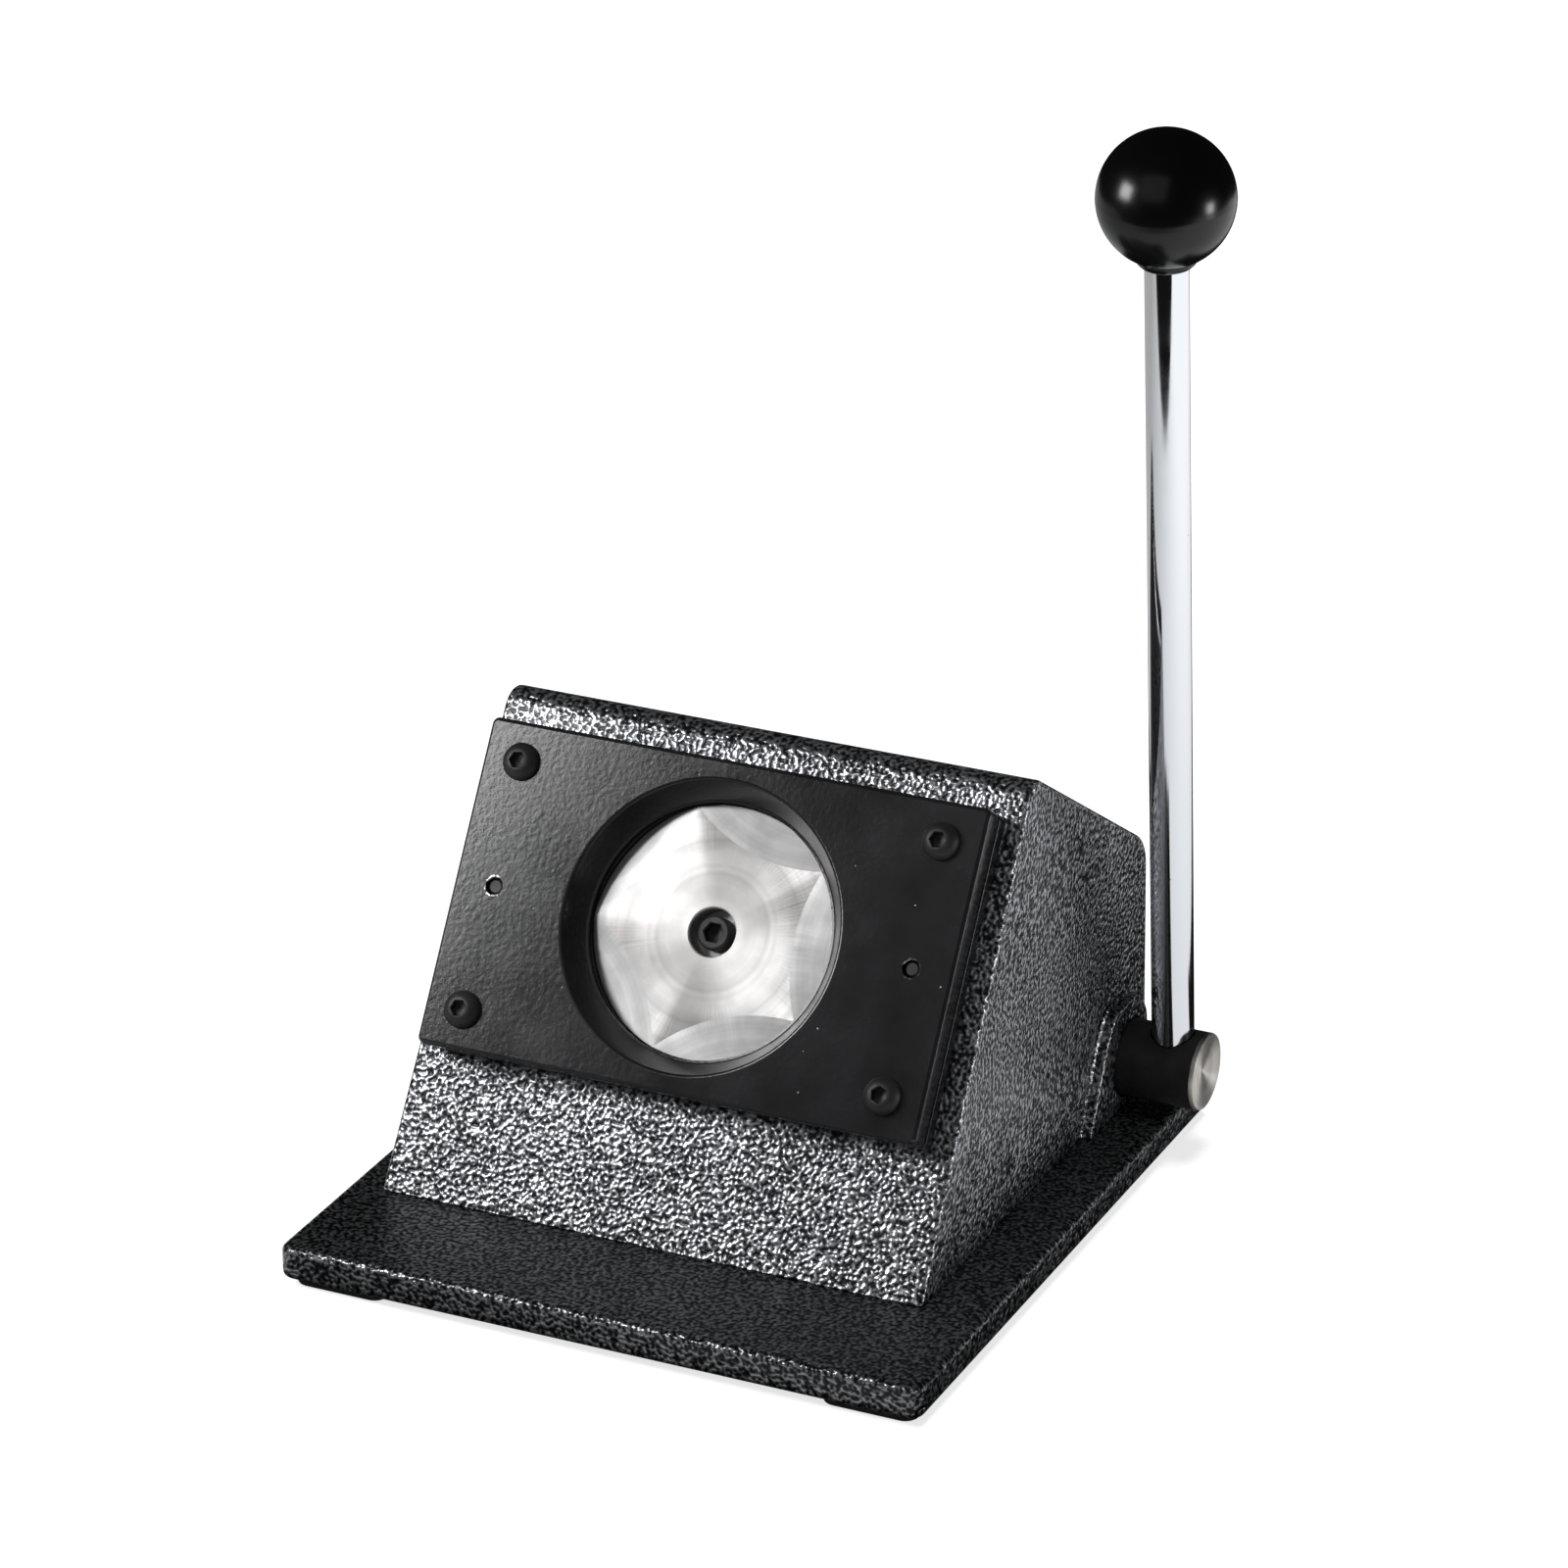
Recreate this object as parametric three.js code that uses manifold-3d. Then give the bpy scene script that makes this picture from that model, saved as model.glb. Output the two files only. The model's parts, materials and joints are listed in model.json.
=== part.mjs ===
// Table-top badge disc cutter: a hand lever turns a cam, and the cam drives a round punch
// through a sloping die plate. Millimetres, +Z up, -Y is the front, +X is the lever side.
import * as THREE from "three";
import * as BufferGeometryUtils from "three/addons/utils/BufferGeometryUtils.js";
import Module from "manifold-3d";

const wasm = await Module();
wasm.setup();

// ---------------------------------------------------------------- driving dimensions
const GAP = 0.3;                      // running or assembly clearance between two pieces
const RAD = Math.PI / 180;

const FACE_TILT = 58 * RAD;           // sloping front face, from the horizontal
const BASE = { width: 189, depth: 207, thick: 9.7, corner: 4, edge: 2 };
const FOOT = { length: 27, width: 24, thick: 2.5, inset: 3, corner: 4, seam: 0.02 };
const BASE_TOP = FOOT.thick + BASE.thick;
const BASE_FRONT = -BASE.depth / 2;

const BODY = {
  centreX: -4,                        // the casting stands off the lever side of the base
  front: 41.5,                        // base front edge to the foot of the sloping face
  slope: 145,                         // length of the sloping face
  back: 201,                          // base front edge to the rear wall
  widthLow: 161.4,                    // drafted: wider at the base than at the ridge
  widthHigh: 157,
  height: 122,
  wall: 6,
  edge: 1.5,
  ridge: 7,
  shoulder: 13,
};
const FACE_CENTRE = 86.9;             // foot of the sloping face to the punch axis, along it
const PUNCH_X = -4.8;                 // the die plate sits a little left of the casting's middle

const DIE = {
  width: 148.4, height: 91.8, thick: 8, chamfer: 1, corner: 2,
  mouth: 40.4, throat: 36, land: 35.35, landDepth: 0.8,
  screwX: 62.5, screwY: 34.8, dowelX: 62,
};
const GUIDE = { thick: 4.3, channel: 1, rail: 17 };
const GUIDE_FACE = GAP + GUIDE.thick;              // heights above the body's front plane
const DIE_BACK = GUIDE_FACE + GAP;
const DIE_FACE = DIE_BACK + DIE.thick;

const PUNCH = {
  radius: 35, face: 3.5, thick: 12, travel: 6.5,
  scallops: 5, firstTip: 38.4 * RAD, scallopRadius: 49, scallopReach: 0.68, scallopDepth: 2.2,
  recess: 6.8, recessDepth: 6.6,
};
const PUNCH_BACK = PUNCH.face - PUNCH.thick;
const CHAMBER = { radius: 37, floor: PUNCH_BACK - 0.4 };

const RAM = { radius: 14, slot: 13, forkReach: 6.5 };
const RAM_BUSH = { outer: 18, front: CHAMBER.floor - 6, back: CHAMBER.floor - 38 };
const SPRING = { mean: 17, wire: 1.1, turns: 6.5 };

const FACE_TO_SHAFT = 123.6;          // die face to the shaft's axis, along the punch axis
const SHAFT_DROP = 1.6;               // the shaft lies this far below the punch axis
const SHAFT_DEPTH = FACE_TO_SHAFT - DIE_FACE;      // the same, from the body's front plane
const SHAFT = {
  journal: 11.1, step: 8, right: 103.1, stepX: 6, left: -93.2, dish: 1.6, crossX: 92.9,
};
const LEVER = { swing: 75 * RAD, lean: 5.5 * RAD, radius: 6, length: 264.2, seat: 8.6 };
const KNOB = {
  radius: 18.7, neck: 8.4, collar: 2.2, collarFoot: 7.1, overRod: 1, bore: 6.5, spigot: 4, spigotReach: 4,
};

const ROLLER = { radius: 8, width: 12, pin: 3 };
const CAM = { low: 15, hub: 12.9, thick: 10, hubLength: 13 };
const PAD = { proud: 3, boss: 17, edge: 0.8, top: 17.5, rear: 13.5, front: 29 };
const BUSH = { wall: 2, length: 15 };
const DIE_SCREW = { shank: 3, head: 5.25, height: 3.1, reach: 14, socket: 4, socketFloor: 0.9 };
const PUNCH_SCREW = { shank: 3, head: 4.7, height: 5.6, reach: 16, socket: 5, socketFloor: 2.4 };
const DOWEL = { radius: 2, reach: 4.5, sunk: 1.1 };
const CAM_PIN = { radius: 2, short: 0.5 };
const CUP = { foot: 25, root: 27, rim: 43 };        // the boss behind the sloping face
const AXIS_TURN = Math.PI / 2 + FACE_TILT;         // from the shaft frame's +Y to the punch

// ---------------------------------------------------------------- finishes
const finish = (color, roughness, metalness) =>
  new THREE.MeshStandardMaterial({ color, roughness, metalness });
const hammertoneBlack = () => finish(0x3d3f41, 0.45, 0.35);
const satinBlack = () => finish(0x232324, 0.42, 0.1);
const blackOxide = () => finish(0x1b1b1d, 0.38, 0.8);
const turnedSteel = () => finish(0xb9b8b4, 0.28, 1);
const chrome = () => finish(0xd7d9dc, 0.08, 1);
const glossPlastic = () => finish(0x0b0b0c, 0.12, 0);
const blackRubber = () => finish(0x151515, 0.85, 0);
const bronze = () => finish(0xa9824a, 0.4, 1);
const springSteel = () => finish(0x6f7276, 0.35, 1);

// ---------------------------------------------------------------- geometry helpers
const AXIS_X = new THREE.Matrix4().makeBasis(
  new THREE.Vector3(0, 1, 0), new THREE.Vector3(0, 0, 1), new THREE.Vector3(1, 0, 0));

function closed(geometry) {
  let g = geometry.index ? geometry : geometry.clone();
  g.deleteAttribute("normal");
  g.deleteAttribute("uv");
  g = BufferGeometryUtils.mergeVertices(g, 1e-4);
  const index = Array.from(g.index.array);
  const kept = [];
  for (let i = 0; i < index.length; i += 3) {
    const [a, b, c] = [index[i], index[i + 1], index[i + 2]];
    if (a !== b && b !== c && c !== a) kept.push(a, b, c);
  }
  g.setIndex(kept);
  return volume(g) < 0 ? turnedOut(g) : g;
}

function volume(g) {
  const p = g.attributes.position;
  const [a, b, c] = [new THREE.Vector3(), new THREE.Vector3(), new THREE.Vector3()];
  let sum = 0;
  for (let i = 0; i < g.index.count; i += 3) {
    a.fromBufferAttribute(p, g.index.getX(i));
    b.fromBufferAttribute(p, g.index.getX(i + 1));
    c.fromBufferAttribute(p, g.index.getX(i + 2));
    sum += a.dot(b.cross(c)) / 6;
  }
  return sum;
}

function turnedOut(g) {
  const index = g.index.array;
  for (let i = 0; i < index.length; i += 3) [index[i], index[i + 1]] = [index[i + 1], index[i]];
  return g;
}

function solid(geometry) {
  const g = closed(geometry);
  return new wasm.Manifold(new wasm.Mesh({
    numProp: 3,
    vertProperties: Float32Array.from(g.attributes.position.array),
    triVerts: Uint32Array.from(g.index.array),
  }));
}

function geometryOf(manifold) {
  const mesh = manifold.getMesh();
  const g = new THREE.BufferGeometry();
  g.setAttribute("position", new THREE.BufferAttribute(mesh.vertProperties, 3));
  g.setIndex(new THREE.BufferAttribute(mesh.triVerts, 1));
  return g;
}

// Cuts every tool from a stock piece; all of them are geometries in the same frame.
function cut(stock, ...tools) {
  return geometryOf(tools.reduce((left, tool) => left.subtract(solid(tool)), solid(stock)));
}

function join(...pieces) {
  return pieces.map(solid).reduce((sum, piece) => sum.add(piece));
}

// A solid of revolution about Z, from [radius, height] points listed from low to high.
function turned(profile, segments = 28) {
  const points = profile.map(([r, h]) => new THREE.Vector2(r, h));
  return new THREE.LatheGeometry(points, segments).rotateX(Math.PI / 2);
}

function rod(radius, low, high, segments = 18) {
  return turned([[0, low], [radius, low], [radius, high], [0, high]], segments);
}

// A hole cutter whose flats, not its corners, lie at the given radius.
function drill(radius, low, high, segments = 18) {
  return rod(radius / Math.cos(Math.PI / segments), low, high, segments);
}

function ring(inner, outer, low, high, segments = 22) {
  const bore = inner / Math.cos(Math.PI / segments);
  return turned([[bore, low], [outer, low], [outer, high], [bore, high], [bore, low]], segments);
}

function hexDrill(acrossFlats, low, high) {
  return rod(acrossFlats / Math.sqrt(3), low, high, 6);
}

function alongX(geometry) {
  return geometry.applyMatrix4(AXIS_X);
}

function roundedRectangle(width, height, radius) {
  const [w, h] = [width / 2, height / 2];
  const s = new THREE.Shape();
  s.moveTo(-w + radius, -h);
  s.lineTo(w - radius, -h);
  s.absarc(w - radius, -h + radius, radius, -Math.PI / 2, 0);
  s.lineTo(w, h - radius);
  s.absarc(w - radius, h - radius, radius, 0, Math.PI / 2);
  s.lineTo(-w + radius, h);
  s.absarc(-w + radius, h - radius, radius, Math.PI / 2, Math.PI);
  s.lineTo(-w, -h + radius);
  s.absarc(-w + radius, -h + radius, radius, Math.PI, 1.5 * Math.PI);
  return s;
}

// Drops the points of an outline that repeat the one before them.
function outlineOf(shape, curveSegments) {
  const points = shape.getPoints(curveSegments);
  const apart = (a, b) => a.distanceTo(b) > 1e-3;
  return new THREE.Shape(points.filter((p, i) => apart(p, points.at(i - 1))));
}

function plate(shape, low, high, edge = 0, curveSegments = 3, edgeSegments = 1) {
  const g = new THREE.ExtrudeGeometry(outlineOf(shape, curveSegments), {
    depth: high - low - 2 * edge,
    bevelEnabled: edge > 0,
    bevelThickness: edge,
    bevelSize: edge,
    bevelOffset: -edge,
    bevelSegments: edgeSegments,
  });
  return g.translate(0, 0, low + edge);
}

function block(x0, x1, y0, y1, z0, z1) {
  return new THREE.BoxGeometry(x1 - x0, y1 - y0, z1 - z0)
    .translate((x0 + x1) / 2, (y0 + y1) / 2, (z0 + z1) / 2);
}

// ---------------------------------------------------------------- scene graph and frames
const machine = new THREE.Group();
machine.name = "badge_disc_cutter";

// Origin of this frame: where the punch axis meets the body's sloping front plane.
const punchFrame = new THREE.Group();
punchFrame.position.set(
  PUNCH_X,
  BASE_FRONT + BODY.front + FACE_CENTRE * Math.cos(FACE_TILT),
  BASE_TOP + FACE_CENTRE * Math.sin(FACE_TILT));
punchFrame.rotation.x = FACE_TILT;
machine.add(punchFrame);

// Origin of this frame: on the shaft's axis, at the middle of the base. X is the axis.
const shaftFrame = new THREE.Group();
shaftFrame.position.set(
  0,
  punchFrame.position.y + SHAFT_DEPTH * Math.sin(FACE_TILT) - SHAFT_DROP * Math.cos(FACE_TILT),
  punchFrame.position.z - SHAFT_DEPTH * Math.cos(FACE_TILT) - SHAFT_DROP * Math.sin(FACE_TILT));
machine.add(shaftFrame);
machine.updateMatrixWorld(true);

function add(name, geometry, material, parent = machine) {
  const mesh = new THREE.Mesh(geometry, material);
  mesh.name = name;
  parent.add(mesh);
  return mesh;
}

const inPunchFrame = (geometry) => geometry.applyMatrix4(punchFrame.matrixWorld);
const inShaftFrame = (geometry) => geometry.applyMatrix4(shaftFrame.matrixWorld);

// ---------------------------------------------------------------- base, feet, fixings
const bodyMiddle = BASE_FRONT + (BODY.front + BODY.back) / 2;
const FIXING = { x: 70, front: -44, back: 28, shank: 3, head: 5, headDepth: 6, reach: 24, post: 8 };
const fixings = [
  ["front_left", -FIXING.x, FIXING.front], ["front_right", FIXING.x, FIXING.front],
  ["back_left", -FIXING.x, FIXING.back], ["back_right", FIXING.x, FIXING.back],
].map(([where, x, y]) => ({ where, x: BODY.centreX + x, y: bodyMiddle + y }));

function basePlate() {
  const outline = roundedRectangle(BASE.width, BASE.depth, BASE.corner);
  const stock = plate(outline, FOOT.thick, BASE_TOP, BASE.edge, 3, 2);
  const holes = fixings.flatMap(({ x, y }) => [
    drill(FIXING.shank + GAP, 0, BASE_TOP + 1, 10).translate(x, y, 0),
    drill(FIXING.head + 2 * GAP, 0, FOOT.thick + FIXING.headDepth + 1, 14).translate(x, y, 0),
  ]);
  return cut(stock, ...holes);
}

function bodyScrew({ x, y }) {
  const seat = FOOT.thick + FIXING.headDepth + 1 - GAP;
  const stock = turned([
    [0, seat - FIXING.headDepth], [FIXING.head, seat - FIXING.headDepth], [FIXING.head, seat],
    [FIXING.shank, seat], [FIXING.shank, BASE_TOP + FIXING.reach - 3],
    [0, BASE_TOP + FIXING.reach - 3],
  ], 10);
  const socket = hexDrill(5, seat - FIXING.headDepth - 1, seat - FIXING.headDepth + 3);
  return cut(stock, socket).translate(x, y, 0);
}

function foot(sideX, sideY) {
  const x = sideX * (BASE.width / 2 - FOOT.inset - FOOT.length / 2);
  const y = sideY * (BASE.depth / 2 - FOOT.inset - FOOT.width / 2);
  const outline = roundedRectangle(FOOT.length, FOOT.width, FOOT.corner);
  return plate(outline, 0, FOOT.thick - FOOT.seam).translate(x, y, 0);
}

// ---------------------------------------------------------------- body casting
// Side outline (y, z) of the housing, offset inwards by `inset` for the hollow. The top runs
// parallel to the punch axis, so it meets the sloping face at a right angle.
function bodyOutline(inset, foot) {
  const [c, s] = [Math.cos(FACE_TILT), Math.sin(FACE_TILT)];
  const frontFoot = new THREE.Vector2(BASE_FRONT + BODY.front, BASE_TOP)
    .add(new THREE.Vector2(s, -c).multiplyScalar(inset));
  const ridge = frontFoot.clone().add(new THREE.Vector2(c, s).multiplyScalar(BODY.slope - inset));
  const back = BASE_FRONT + BODY.back - inset;
  const shoulder = new THREE.Vector2(back, ridge.y - (back - ridge.x) * (c / s));
  const low = new THREE.Vector2(frontFoot.x + (foot - frontFoot.y) * (c / s), foot);
  const shape = new THREE.Shape();
  shape.moveTo(low.x, low.y);
  cornerTo(shape, low, ridge, shoulder, Math.max(BODY.ridge - inset, 4));
  cornerTo(shape, ridge, shoulder, new THREE.Vector2(back, foot), Math.max(BODY.shoulder - inset, 5));
  shape.lineTo(back, foot);
  shape.closePath();
  return shape;
}

// Runs the outline from `from` round the corner at `at`, on its way to `to`.
function cornerTo(shape, from, at, to, radius) {
  const inward = from.clone().sub(at).normalize();
  const onward = to.clone().sub(at).normalize();
  const halfAngle = Math.acos(inward.dot(onward)) / 2;
  const reach = radius / Math.tan(halfAngle);
  const start = at.clone().addScaledVector(inward, reach);
  const centre = at.clone().add(
    inward.clone().add(onward).normalize().multiplyScalar(radius / Math.sin(halfAngle)));
  const end = at.clone().addScaledVector(onward, reach);
  shape.lineTo(start.x, start.y);
  const a0 = Math.atan2(start.y - centre.y, start.x - centre.x);
  const a1 = Math.atan2(end.y - centre.y, end.x - centre.x);
  shape.absarc(centre.x, centre.y, radius, a0, a1, true);
}

// Gives an extruded housing its draft: the half width falls from the base to the ridge.
function drafted(geometry, inset) {
  const p = geometry.attributes.position;
  for (let i = 0; i < p.count; i++) {
    const rise = (p.getZ(i) - BASE_TOP) / BODY.height;
    const half = (BODY.widthLow + (BODY.widthHigh - BODY.widthLow) * rise) / 2 - inset;
    p.setX(i, BODY.centreX + p.getX(i) * (half / (BODY.widthLow / 2 - inset)));
  }
  return geometry;
}

function housing(inset, foot, edge) {
  const half = BODY.widthLow / 2 - inset;
  return drafted(alongX(plate(bodyOutline(inset, foot), -half, half, edge, 3, 2)), inset);
}

// The pad round the shaft, from the shaft's axis: an arch whose front flares down to the base.
function padOutline() {
  const s = new THREE.Shape();
  const low = BASE_TOP - shaftFrame.position.z;
  s.moveTo(-PAD.front, low);
  s.quadraticCurveTo(-0.8 * PAD.front, -3, -0.6 * PAD.front, PAD.top / 2);
  s.quadraticCurveTo(-0.45 * PAD.front, PAD.top, -3, PAD.top);
  s.quadraticCurveTo(PAD.rear - 4, PAD.top, PAD.rear, PAD.top / 3);
  s.lineTo(PAD.rear, low);
  s.closePath();
  return s;
}

function bearingPad(side) {
  const wall = BODY.widthLow / 2;
  const depth = wall + PAD.proud;
  const pad = plate(padOutline(), wall - BODY.wall - 1, depth - PAD.edge, PAD.edge, 4);
  const boss = rod(PAD.boss, wall - BUSH.length, wall - 1, 20);
  return [pad, boss].map((g) => {
    const placed = alongX(g);
    if (side < 0) placed.scale(-1, 1, 1);
    return inShaftFrame(placed.translate(BODY.centreX, 0, 0));
  });
}

function bodyCasting() {
  const floor = BASE_TOP + GAP;
  const shell = solid(housing(0, floor - 12, BODY.edge))
    .subtract(solid(housing(BODY.wall, floor - 14, 0)));
  const cup = inPunchFrame(turned([
    [0, RAM_BUSH.back], [CUP.foot, RAM_BUSH.back], [CUP.root, CHAMBER.floor - 8],
    [CUP.rim, CHAMBER.floor - 6], [CUP.rim, -1], [0, -1],
  ], 28));
  const posts = fixings.map(({ x, y }) =>
    rod(FIXING.post, floor - 6, BASE_TOP + FIXING.reach + 5, 12).translate(x, y, 0));
  const skin = solid(housing(0.5, floor - 12, BODY.edge));
  let casting = [cup, ...posts].map(solid)
    .reduce((sum, piece) => sum.add(piece.intersect(skin)), shell);
  for (const piece of [...bearingPad(1), ...bearingPad(-1)]) casting = casting.add(solid(piece));
  const cuts = [
    block(-200, 200, -200, 200, -50, floor),
    inPunchFrame(drill(CHAMBER.radius, CHAMBER.floor, 20, 36)),
    inPunchFrame(drill(RAM_BUSH.outer + GAP, RAM_BUSH.back - 1, 20, 22)),
    inShaftFrame(alongX(drill(SHAFT.journal + 2 * GAP, 20, 110, 24))),
    inShaftFrame(alongX(drill(SHAFT.journal + BUSH.wall + GAP, 20, bushX(1), 22))),
    inShaftFrame(alongX(drill(SHAFT.step + 2 * GAP, -110, -20, 22))),
    inShaftFrame(alongX(drill(SHAFT.step + BUSH.wall + GAP, bushX(-1), -20, 22))),
    ...fixings.map(({ x, y }) =>
      drill(FIXING.shank + GAP, 0, BASE_TOP + FIXING.reach, 10).translate(x, y, 0)),
    ...dieScrewPlaces.map(([, x, y]) =>
      inPunchFrame(drill(DIE_SCREW.shank + GAP, -40, 20, 10).translate(x, y, 0))),
    ...dowelPlaces.map(([, x]) =>
      inPunchFrame(drill(DOWEL.radius + GAP, -5, 20, 10).translate(x, 0, 0))),
  ];
  return geometryOf(cuts.reduce((left, tool) => left.subtract(solid(tool)), casting));
}

// ---------------------------------------------------------------- die set
const dieScrewPlaces = [
  ["top_left", -DIE.screwX, DIE.screwY], ["top_right", DIE.screwX, DIE.screwY],
  ["low_left", -DIE.screwX, -DIE.screwY], ["low_right", DIE.screwX, -DIE.screwY],
];
const dowelPlaces = [["left", -DIE.dowelX], ["right", DIE.dowelX]];

function stackHoles(low, high) {
  return [
    ...dieScrewPlaces.map(([, x, y]) =>
      drill(DIE_SCREW.shank + GAP, low, high, 10).translate(x, y, 0)),
    ...dowelPlaces.map(([, x]) => drill(DOWEL.radius + GAP, low, high, 10).translate(x, 0, 0)),
  ];
}

function guidePlate() {
  const outline = roundedRectangle(DIE.width, DIE.height, DIE.corner);
  const stock = plate(outline, GAP, GUIDE_FACE);
  const floor = GUIDE_FACE - GUIDE.channel;
  const half = DIE.width / 2 - GUIDE.rail;
  return cut(stock,
    block(-half, half, -DIE.height, DIE.height, floor, GUIDE_FACE + 1),
    drill(PUNCH.radius + GAP, -1, GUIDE_FACE + 1, 48),
    ...stackHoles(-1, GUIDE_FACE + 1));
}

function diePlate() {
  const outline = roundedRectangle(DIE.width, DIE.height, DIE.corner);
  const stock = plate(outline, DIE_BACK, DIE_FACE, DIE.chamfer);
  const window = turned([
    [0, DIE_BACK - 1], [DIE.land, DIE_BACK - 1], [DIE.land, DIE_BACK + DIE.landDepth],
    [DIE.throat, DIE_BACK + DIE.landDepth], [DIE.mouth, DIE_FACE],
    [DIE.mouth + 1, DIE_FACE + 1], [0, DIE_FACE + 1],
  ], 48);
  return cut(stock, window, ...stackHoles(DIE_BACK - 1, DIE_FACE + 1));
}

function dieScrew(x, y) {
  const seat = DIE_FACE + GAP;
  const stock = turned([
    [0, -DIE_SCREW.reach], [DIE_SCREW.shank, -DIE_SCREW.reach], [DIE_SCREW.shank, seat],
    [DIE_SCREW.head, seat], [0.97 * DIE_SCREW.head, seat + 0.9],
    [0.82 * DIE_SCREW.head, seat + 2.1], [0.6 * DIE_SCREW.head, seat + 2.9],
    [0, seat + DIE_SCREW.height],
  ], 12);
  const socket = hexDrill(DIE_SCREW.socket, seat + DIE_SCREW.socketFloor, seat + 5);
  return cut(stock, socket).translate(x, y, 0);
}

function dowel(x) {
  return rod(DOWEL.radius, -DOWEL.reach, DIE_FACE - DOWEL.sunk, 10).translate(x, 0, 0);
}

// ---------------------------------------------------------------- punch and ram
function punch() {
  const top = PUNCH.face;
  const stock = turned([
    [0, PUNCH_BACK], [PUNCH.radius - 1, PUNCH_BACK], [PUNCH.radius, PUNCH_BACK + 1],
    [PUNCH.radius, top], [0, top],
  ], 48);
  const reach = PUNCH.scallopRadius + PUNCH.radius * PUNCH.scallopReach;
  const slope = PUNCH.scallopDepth / (PUNCH.radius * (1 - PUNCH.scallopReach));
  const wheel = PUNCH.scallopRadius / Math.cos(Math.PI / 72);
  const scallops = Array.from({ length: PUNCH.scallops }, (_, i) => {
    const turn = PUNCH.firstTip + ((2 * i + 1) * Math.PI) / PUNCH.scallops;
    return turned([
      [0, top - slope * wheel], [wheel, top], [wheel + 1, top + slope], [wheel + 1, top + 5],
      [0, top + 5],
    ], 72).translate(reach * Math.cos(turn), reach * Math.sin(turn), 0);
  });
  return cut(stock, ...scallops,
    drill(PUNCH.recess, top - PUNCH.recessDepth, top + 1, 20),
    drill(PUNCH_SCREW.shank + GAP, PUNCH_BACK - 1, top, 10));
}

function punchScrew() {
  const seat = PUNCH.face - PUNCH.recessDepth + GAP;
  const stock = turned([
    [0, PUNCH_BACK - PUNCH_SCREW.reach], [PUNCH_SCREW.shank, PUNCH_BACK - PUNCH_SCREW.reach],
    [PUNCH_SCREW.shank, seat], [PUNCH_SCREW.head, seat],
    [PUNCH_SCREW.head, seat + PUNCH_SCREW.height - 0.4],
    [PUNCH_SCREW.head - 0.5, seat + PUNCH_SCREW.height], [0, seat + PUNCH_SCREW.height],
  ], 14);
  return cut(stock, hexDrill(PUNCH_SCREW.socket, seat + PUNCH_SCREW.socketFloor, seat + 8));
}

const ramTop = PUNCH_BACK - GAP;
const rollerRest = -SHAFT_DEPTH + CAM.low + GAP + ROLLER.radius;
const ramLow = rollerRest - RAM.forkReach;
const springSeat = { low: rollerRest + 12, thick: 3, outer: 20 };

function ram() {
  const stock = turned([
    [0, ramLow], [RAM.radius - 1, ramLow], [RAM.radius, ramLow + 1],
    [RAM.radius, springSeat.low - 2.6], [RAM.radius - 1.2, springSeat.low - 2.6],
    [RAM.radius - 1.2, springSeat.low - 0.8], [RAM.radius, springSeat.low - 0.8],
    [RAM.radius, ramTop - 1], [RAM.radius - 1, ramTop], [0, ramTop],
  ], 22);
  return cut(stock,
    block(-RAM.slot / 2, RAM.slot / 2, -20, 20, ramLow - 1, rollerRest + ROLLER.radius + 2),
    alongX(drill(ROLLER.pin + GAP, -20, 20, 12)).translate(0, 0, rollerRest),
    drill(PUNCH_SCREW.shank + GAP, ramTop - 20, ramTop + 1, 10));
}

function ramBush() {
  return ring(RAM.radius + GAP, RAM_BUSH.outer, RAM_BUSH.back, RAM_BUSH.front - GAP);
}

function seatRing() {
  return ring(RAM.radius - 1.2 + GAP, RAM.radius + 2.4, springSeat.low - 2.3, springSeat.low - 1.1, 18);
}

function returnSpring() {
  const low = springSeat.low + springSeat.thick + GAP + SPRING.wire;
  const high = RAM_BUSH.back - GAP - SPRING.wire;
  const turns = SPRING.turns;
  const points = [];
  const steps = Math.round(turns * 11);
  for (let i = 0; i <= steps; i++) {
    const t = i / steps;
    const turn = t * turns;
    // closed ground ends: the first and last turns lie flat
    const rise = (Math.min(turn, 0.8) * 0.12 + Math.max(0, Math.min(turn, turns - 0.8) - 0.8)
      + Math.max(0, turn - (turns - 0.8)) * 0.12) / (turns - 1.6 + 0.192);
    const angle = turn * 2 * Math.PI;
    points.push(new THREE.Vector3(
      SPRING.mean * Math.cos(angle), SPRING.mean * Math.sin(angle), low + rise * (high - low)));
  }
  const path = new THREE.CatmullRomCurve3(points);
  const wire = new THREE.Shape();
  wire.absarc(0, 0, SPRING.wire, 0, 2 * Math.PI);
  return closed(new THREE.ExtrudeGeometry(wire, {
    steps, extrudePath: path, curveSegments: 3, bevelEnabled: false,
  }));
}

// ---------------------------------------------------------------- shaft, cam and lever
// The roller's centre climbs evenly with the lever's angle; the cam's edge lies a roller's
// radius inside that path.
function camOutline() {
  const perRadian = PUNCH.travel / LEVER.swing;
  const start = CAM.low + ROLLER.radius;
  const lobe = [];
  const first = -14 * RAD;
  const last = LEVER.swing + 8 * RAD;
  for (let i = 0; i <= 12; i++) {
    const turn = first + ((last - first) * i) / 12;
    const centre = new THREE.Vector2(start + perRadian * turn, -SHAFT_DROP);
    const inset = new THREE.Vector2(-centre.x, -centre.y - perRadian).setLength(ROLLER.radius);
    lobe.push(centre.add(inset).rotateAround(new THREE.Vector2(), -turn));
  }
  const shape = new THREE.Shape();
  shape.moveTo(lobe[0].x, lobe[0].y);
  for (const p of lobe.slice(1)) shape.lineTo(p.x, p.y);
  const top = lobe.at(-1).angle();
  const from = top - 70 * RAD;
  const to = lobe[0].angle() - 2 * Math.PI + 50 * RAD;
  shape.absarc(0, 0, CAM.hub, from, to, true);
  shape.closePath();
  return shape;
}

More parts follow.
